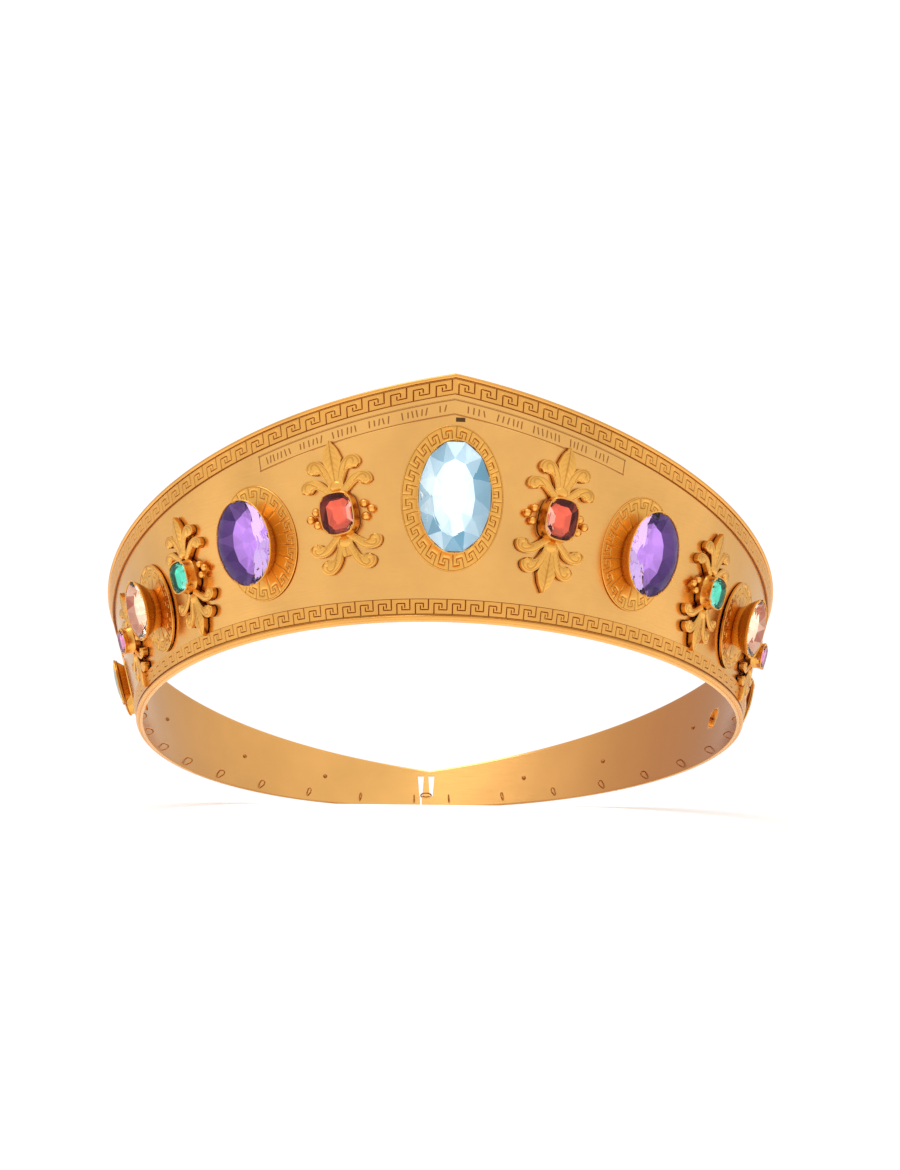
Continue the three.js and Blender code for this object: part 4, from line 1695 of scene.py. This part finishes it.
@dataclass
class EngravedPanel:
    """The engraved frame under the upper border, with rows of short strokes.

    Attributes:
        plan: the ring.
        left: way along of its left end.
        right: way along of its right end.
        below_top: way from the upper edge down to it.
        height: its height.
        thickness: how far the skin stands off the sheet.
        line_depth: depth of the cut lines.
        inset: way from its edge to the frame line.
        seed: start of the random strokes.
    """

    plan: RingPlan
    left: float = -45.0
    right: float = 42.0
    below_top: float = 6.4
    height: float = 4.3
    thickness: float = 0.05
    line_depth: float = 0.045
    inset: float = 0.35
    seed: int = 7

    def build(self) -> None:
        """Makes the panel as a thin skin with cut lines and dresses it."""
        count, rows = 1100, 30
        arcs = np.linspace(self.left, self.right, count)
        arcs[np.argmin(np.abs(arcs))] = 0.0
        v = np.linspace(0, 1, rows)
        top = self.plan.height_at(arcs) - self.below_top
        way = np.broadcast_to(self.height * v[None, :], (count, rows))
        rise = top[:, None] - way
        x = arcs[:, None] * np.ones((1, rows))
        cut = self._lines(x, way)
        edge = np.minimum.reduce([way, self.height - way, x - self.left, self.right - x])
        off = np.clip(edge / 0.1, 0, 1) * self.thickness - self.line_depth * cut + 0.02
        off = np.where(edge <= 0.001, -0.05, off)
        foot, _, _, up, outward = self.plan.directions(arcs)
        points = foot[:, None] + up[:, None] * rise[..., None] + outward[:, None] * off[..., None]
        under = points - outward[:, None] * (off[..., None] + 0.08)
        shape = Shape()
        shape.grid(points, cut)
        shape.grid(under)
        for row in (0, rows - 1):
            shape.grid(np.stack([points[:, row], under[:, row]]))
        for column in (0, count - 1):
            shape.grid(np.stack([points[column], under[column]]))
        shape.piece("engraved_panel", PANEL_GOLD)

    def _lines(self, x: Array, way: Array) -> Array:
        """The frame line and the strokes.

        Args:
            x: ways along the lower edge.
            way: ways down from the panel's top.

        Returns:
            How deep each place is cut, 0 to 1.
        """
        frame_line = np.minimum.reduce([
            np.abs(way - self.inset), np.abs(way - self.height + self.inset),
            np.abs(x - self.left - self.inset), np.abs(x - self.right + self.inset)])
        cut = np.clip(1.3 - frame_line / 0.14, 0, 1)
        random = np.random.default_rng(self.seed)
        at = self.left + 2.4
        while at < self.right - 2.4:
            for _ in range(int(random.integers(4, 8))):
                if abs(at) > 1.2 and at < self.right - 2.4:
                    lean = float(random.uniform(-0.15, 0.15))
                    high = float(random.uniform(0.65, 0.9))
                    path = [(at - lean, self.height / 2 - high), (at + lean, self.height / 2 + high)]
                    near = distance_to_path(x, way, path)
                    cut = np.maximum(cut, np.clip(1.25 - near / 0.17, 0, 1))
                at += float(random.uniform(0.85, 1.25))
            at += 1.8
        return cut


@dataclass
class Studio:
    """The pale floor, the soft light and the camera.

    Attributes:
        plan: the ring, whose shift the camera follows.
        slope: fall of the floor towards the front, since the tiara leans back in the view.
        eye: the camera's place before the shift, in metres.
        ahead: the direction from the camera to the tiara.
        lens: focal length on a 36 mm sensor.
        right_turn: turn of the aim to the right of that direction.
        up_turn: turn of the aim above it.
        roll: turn of the camera about its aim.
        glow: brightness of the surroundings at angles from straight in front.
    """

    plan: RingPlan
    slope: float = math.radians(19.9)
    eye: tuple[float, float, float] = (-0.04231, -1.44378, -0.42496)
    ahead: tuple[float, float, float] = (0.0281, 0.9589, 0.2822)
    lens: float = 173.45
    right_turn: float = math.radians(0.102)
    up_turn: float = math.radians(1.373)
    roll: float = 0.00263
    glow: tuple[tuple[float, float], ...] = (
        (68.0, 1.0), (71.0, 0.88), (112.0, 0.92), (125.0, 0.84), (145.0, 0.8))

    def build(self) -> None:
        """Makes the camera, the floor and the lights."""
        self._camera()
        self._floor()
        self._light()

    def _camera(self) -> None:
        """Places the camera where the photograph was taken from."""
        data = bpy.data.cameras.new("camera")
        data.lens = self.lens
        data.sensor_width = 36.0
        data.clip_end = 50.0
        eye = Vector(self.eye) + Vector(self.plan.shift * METRES)
        ahead = Vector(self.ahead).normalized()
        right = ahead.cross(Vector((0, 0, 1))).normalized()
        up = right.cross(ahead)
        aim = (ahead + right * math.tan(self.right_turn) + up * math.tan(self.up_turn)).normalized()
        turned = aim.to_track_quat("-Z", "Y").to_matrix() @ Matrix.Rotation(self.roll, 3, "Z")
        camera = bpy.data.objects.new("camera", data)
        camera.matrix_world = Matrix.Translation(eye) @ turned.to_4x4()
        bpy.context.scene.collection.objects.link(camera)
        bpy.context.scene.camera = camera

    def _floor(self) -> None:
        """Makes the sweep of pale paper that falls away to the front."""
        crest = 0.094
        soft = 0.006
        below = 0.0002
        reach = 3.0
        y = np.concatenate([np.linspace(-reach, 0.0, 20), np.linspace(0.01, 0.2, 40),
                            np.linspace(0.3, reach, 10)])
        x = np.linspace(-reach, reach, 30)
        away = crest - y
        drop = np.where(away > 0, np.sqrt(away**2 + soft**2) - soft, 0) * math.tan(self.slope)
        across, deep = np.meshgrid(x, y, indexing="ij")
        points = np.stack([across, deep, np.broadcast_to(-drop - below, across.shape)], -1)
        n = len(y)
        faces = [(i * n + j, (i + 1) * n + j, (i + 1) * n + j + 1, i * n + j + 1)
                 for i in range(len(x) - 1) for j in range(n - 1)]
        mesh = bpy.data.meshes.new("floor")
        mesh.from_pydata(points.reshape(-1, 3).tolist(), [], faces)
        mesh.polygons.foreach_set("use_smooth", [True] * len(mesh.polygons))
        floor = bpy.data.objects.new("floor", mesh)
        paper = bpy.data.materials.new("paper")
        paper.use_nodes = True
        shader = paper.node_tree.nodes["Principled BSDF"]
        shader.inputs["Base Color"].default_value = (0.95, 0.95, 0.95, 1)
        shader.inputs["Roughness"].default_value = 0.9
        shader.inputs["Emission Color"].default_value = (1, 1, 1, 1)
        shader.inputs["Emission Strength"].default_value = 0.2
        mesh.materials.append(paper)
        bpy.context.scene.collection.objects.link(floor)

    def _light(self) -> None:
        """Makes the white surroundings, brightest in front and above, and a soft lamp."""
        world = bpy.data.worlds.new("studio")
        bpy.context.scene.world = world
        world.use_nodes = True
        nodes, links = world.node_tree.nodes, world.node_tree.links

        def sum_up(kind: str, first: bpy.types.NodeSocket | float,
                   second: bpy.types.NodeSocket | float) -> bpy.types.NodeSocket:
            """Adds one calculation to the world's tree.

            Args:
                kind: the calculation.
                first: its first value.
                second: its second value.

            Returns:
                Its result.
            """
            made = nodes.new("ShaderNodeMath")
            made.operation = kind
            for place, value in enumerate((first, second)):
                if isinstance(value, float):
                    made.inputs[place].default_value = value
                else:
                    links.new(value, made.inputs[place])
            return made.outputs[0]

        place = nodes.new("ShaderNodeTexCoord")
        parts = nodes.new("ShaderNodeSeparateXYZ")
        links.new(place.outputs["Generated"], parts.inputs["Vector"])
        across = sum_up("ABSOLUTE", parts.outputs["X"], 0.0)
        away = sum_up("ARCTAN2", across, sum_up("MULTIPLY", parts.outputs["Y"], -1.0))
        round_ramp = nodes.new("ShaderNodeValToRGB")
        round_ramp.color_ramp.elements[0].position = 0.0
        round_ramp.color_ramp.elements[0].color = (1.0, 1.0, 1.0, 1)
        round_ramp.color_ramp.elements[1].position = 1.0
        round_ramp.color_ramp.elements[1].color = (0.95, 0.95, 0.95, 1)
        for angle, tone in self.glow:
            stop = round_ramp.color_ramp.elements.new(angle / 180)
            stop.color = (tone, tone, tone, 1)
        links.new(sum_up("DIVIDE", away, math.pi), round_ramp.inputs["Fac"])
        height = nodes.new("ShaderNodeMapRange")
        height.inputs["From Min"].default_value = 0.5
        height.inputs["From Max"].default_value = 0.95
        height.inputs["To Max"].default_value = 1.0
        links.new(parts.outputs["Z"], height.inputs["Value"])
        blend = nodes.new("ShaderNodeMix")
        blend.data_type = "RGBA"
        blend.inputs[7].default_value = (1.1, 1.1, 1.1, 1)
        links.new(height.outputs["Result"], blend.inputs[0])
        links.new(round_ramp.outputs["Color"], blend.inputs[6])
        seen = nodes.new("ShaderNodeLightPath")
        choose = nodes.new("ShaderNodeMix")
        choose.data_type = "RGBA"
        choose.inputs[7].default_value = (1.05, 1.05, 1.05, 1)
        links.new(seen.outputs["Is Camera Ray"], choose.inputs[0])
        links.new(blend.outputs[2], choose.inputs[6])
        links.new(choose.outputs[2], nodes["Background"].inputs["Color"])
        nodes["Background"].inputs["Strength"].default_value = 1.0
        data = bpy.data.lights.new("top_box", "AREA")
        data.size = 0.7
        data.energy = 4.0
        lamp = bpy.data.objects.new("top_box", data)
        lamp.location = (-0.25, -0.45, 1.2)
        lamp.rotation_mode = "QUATERNION"
        lamp.rotation_quaternion = (Vector((0, 0, 0.03)) - lamp.location).to_track_quat("-Z", "Y")
        bpy.context.scene.collection.objects.link(lamp)
        bpy.context.scene.view_settings.view_transform = "Standard"


def measured_shift(plan: RingPlan) -> Array:
    """Finds where the solids' origin lies, from the middle stone.

    Args:
        plan: the ring before it is shifted.

    Returns:
        The shift in millimetres.
    """
    low, high = (np.array(v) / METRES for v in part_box("aquamarine"))
    seat = plan.seat(0.0, CENTRE.rise * plan.front_height)
    sides = 18
    turn = (np.arange(sides) + 0.5) * 2 * math.pi / sides
    half_x, half_y = np.array(CENTRE.stone) / 2
    levels = ((0.12, 0.3, 1.65), (1, 1, 6.2), (1, 1, 6.6), (0.7, 0.7, 8.08))
    rings = [np.column_stack([half_x * share_x * np.cos(turn), half_y * share_y * np.sin(turn),
                              np.full(sides, level)]) for share_x, share_y, level in levels]
    points = seat.put(np.vstack(rings))
    shift = (low + high) / 2 - (points.min(0) + points.max(0)) / 2
    wrong = np.abs((high - low) - (points.max(0) - points.min(0))).max()
    LOG.info("shift %s mm, size differs by %.3f mm", np.round(shift, 4), wrong)
    return shift


def main() -> None:
    """Builds every sub-assembly in order."""
    plan = RingPlan()
    plan.shift = measured_shift(plan)
    Studio(plan).build()
    holes = OrnamentRow(plan).build()
    Band(plan).build(holes)
    Border(plan, "upper_border", upper=True, pitch=4.65).build()
    Border(plan, "lower_border", upper=False, pitch=4.6).build()
    EngravedPanel(plan).build()
    SewingLoops(plan).build()
    Closure(plan).build()


if __name__ == "__main__":
    main()
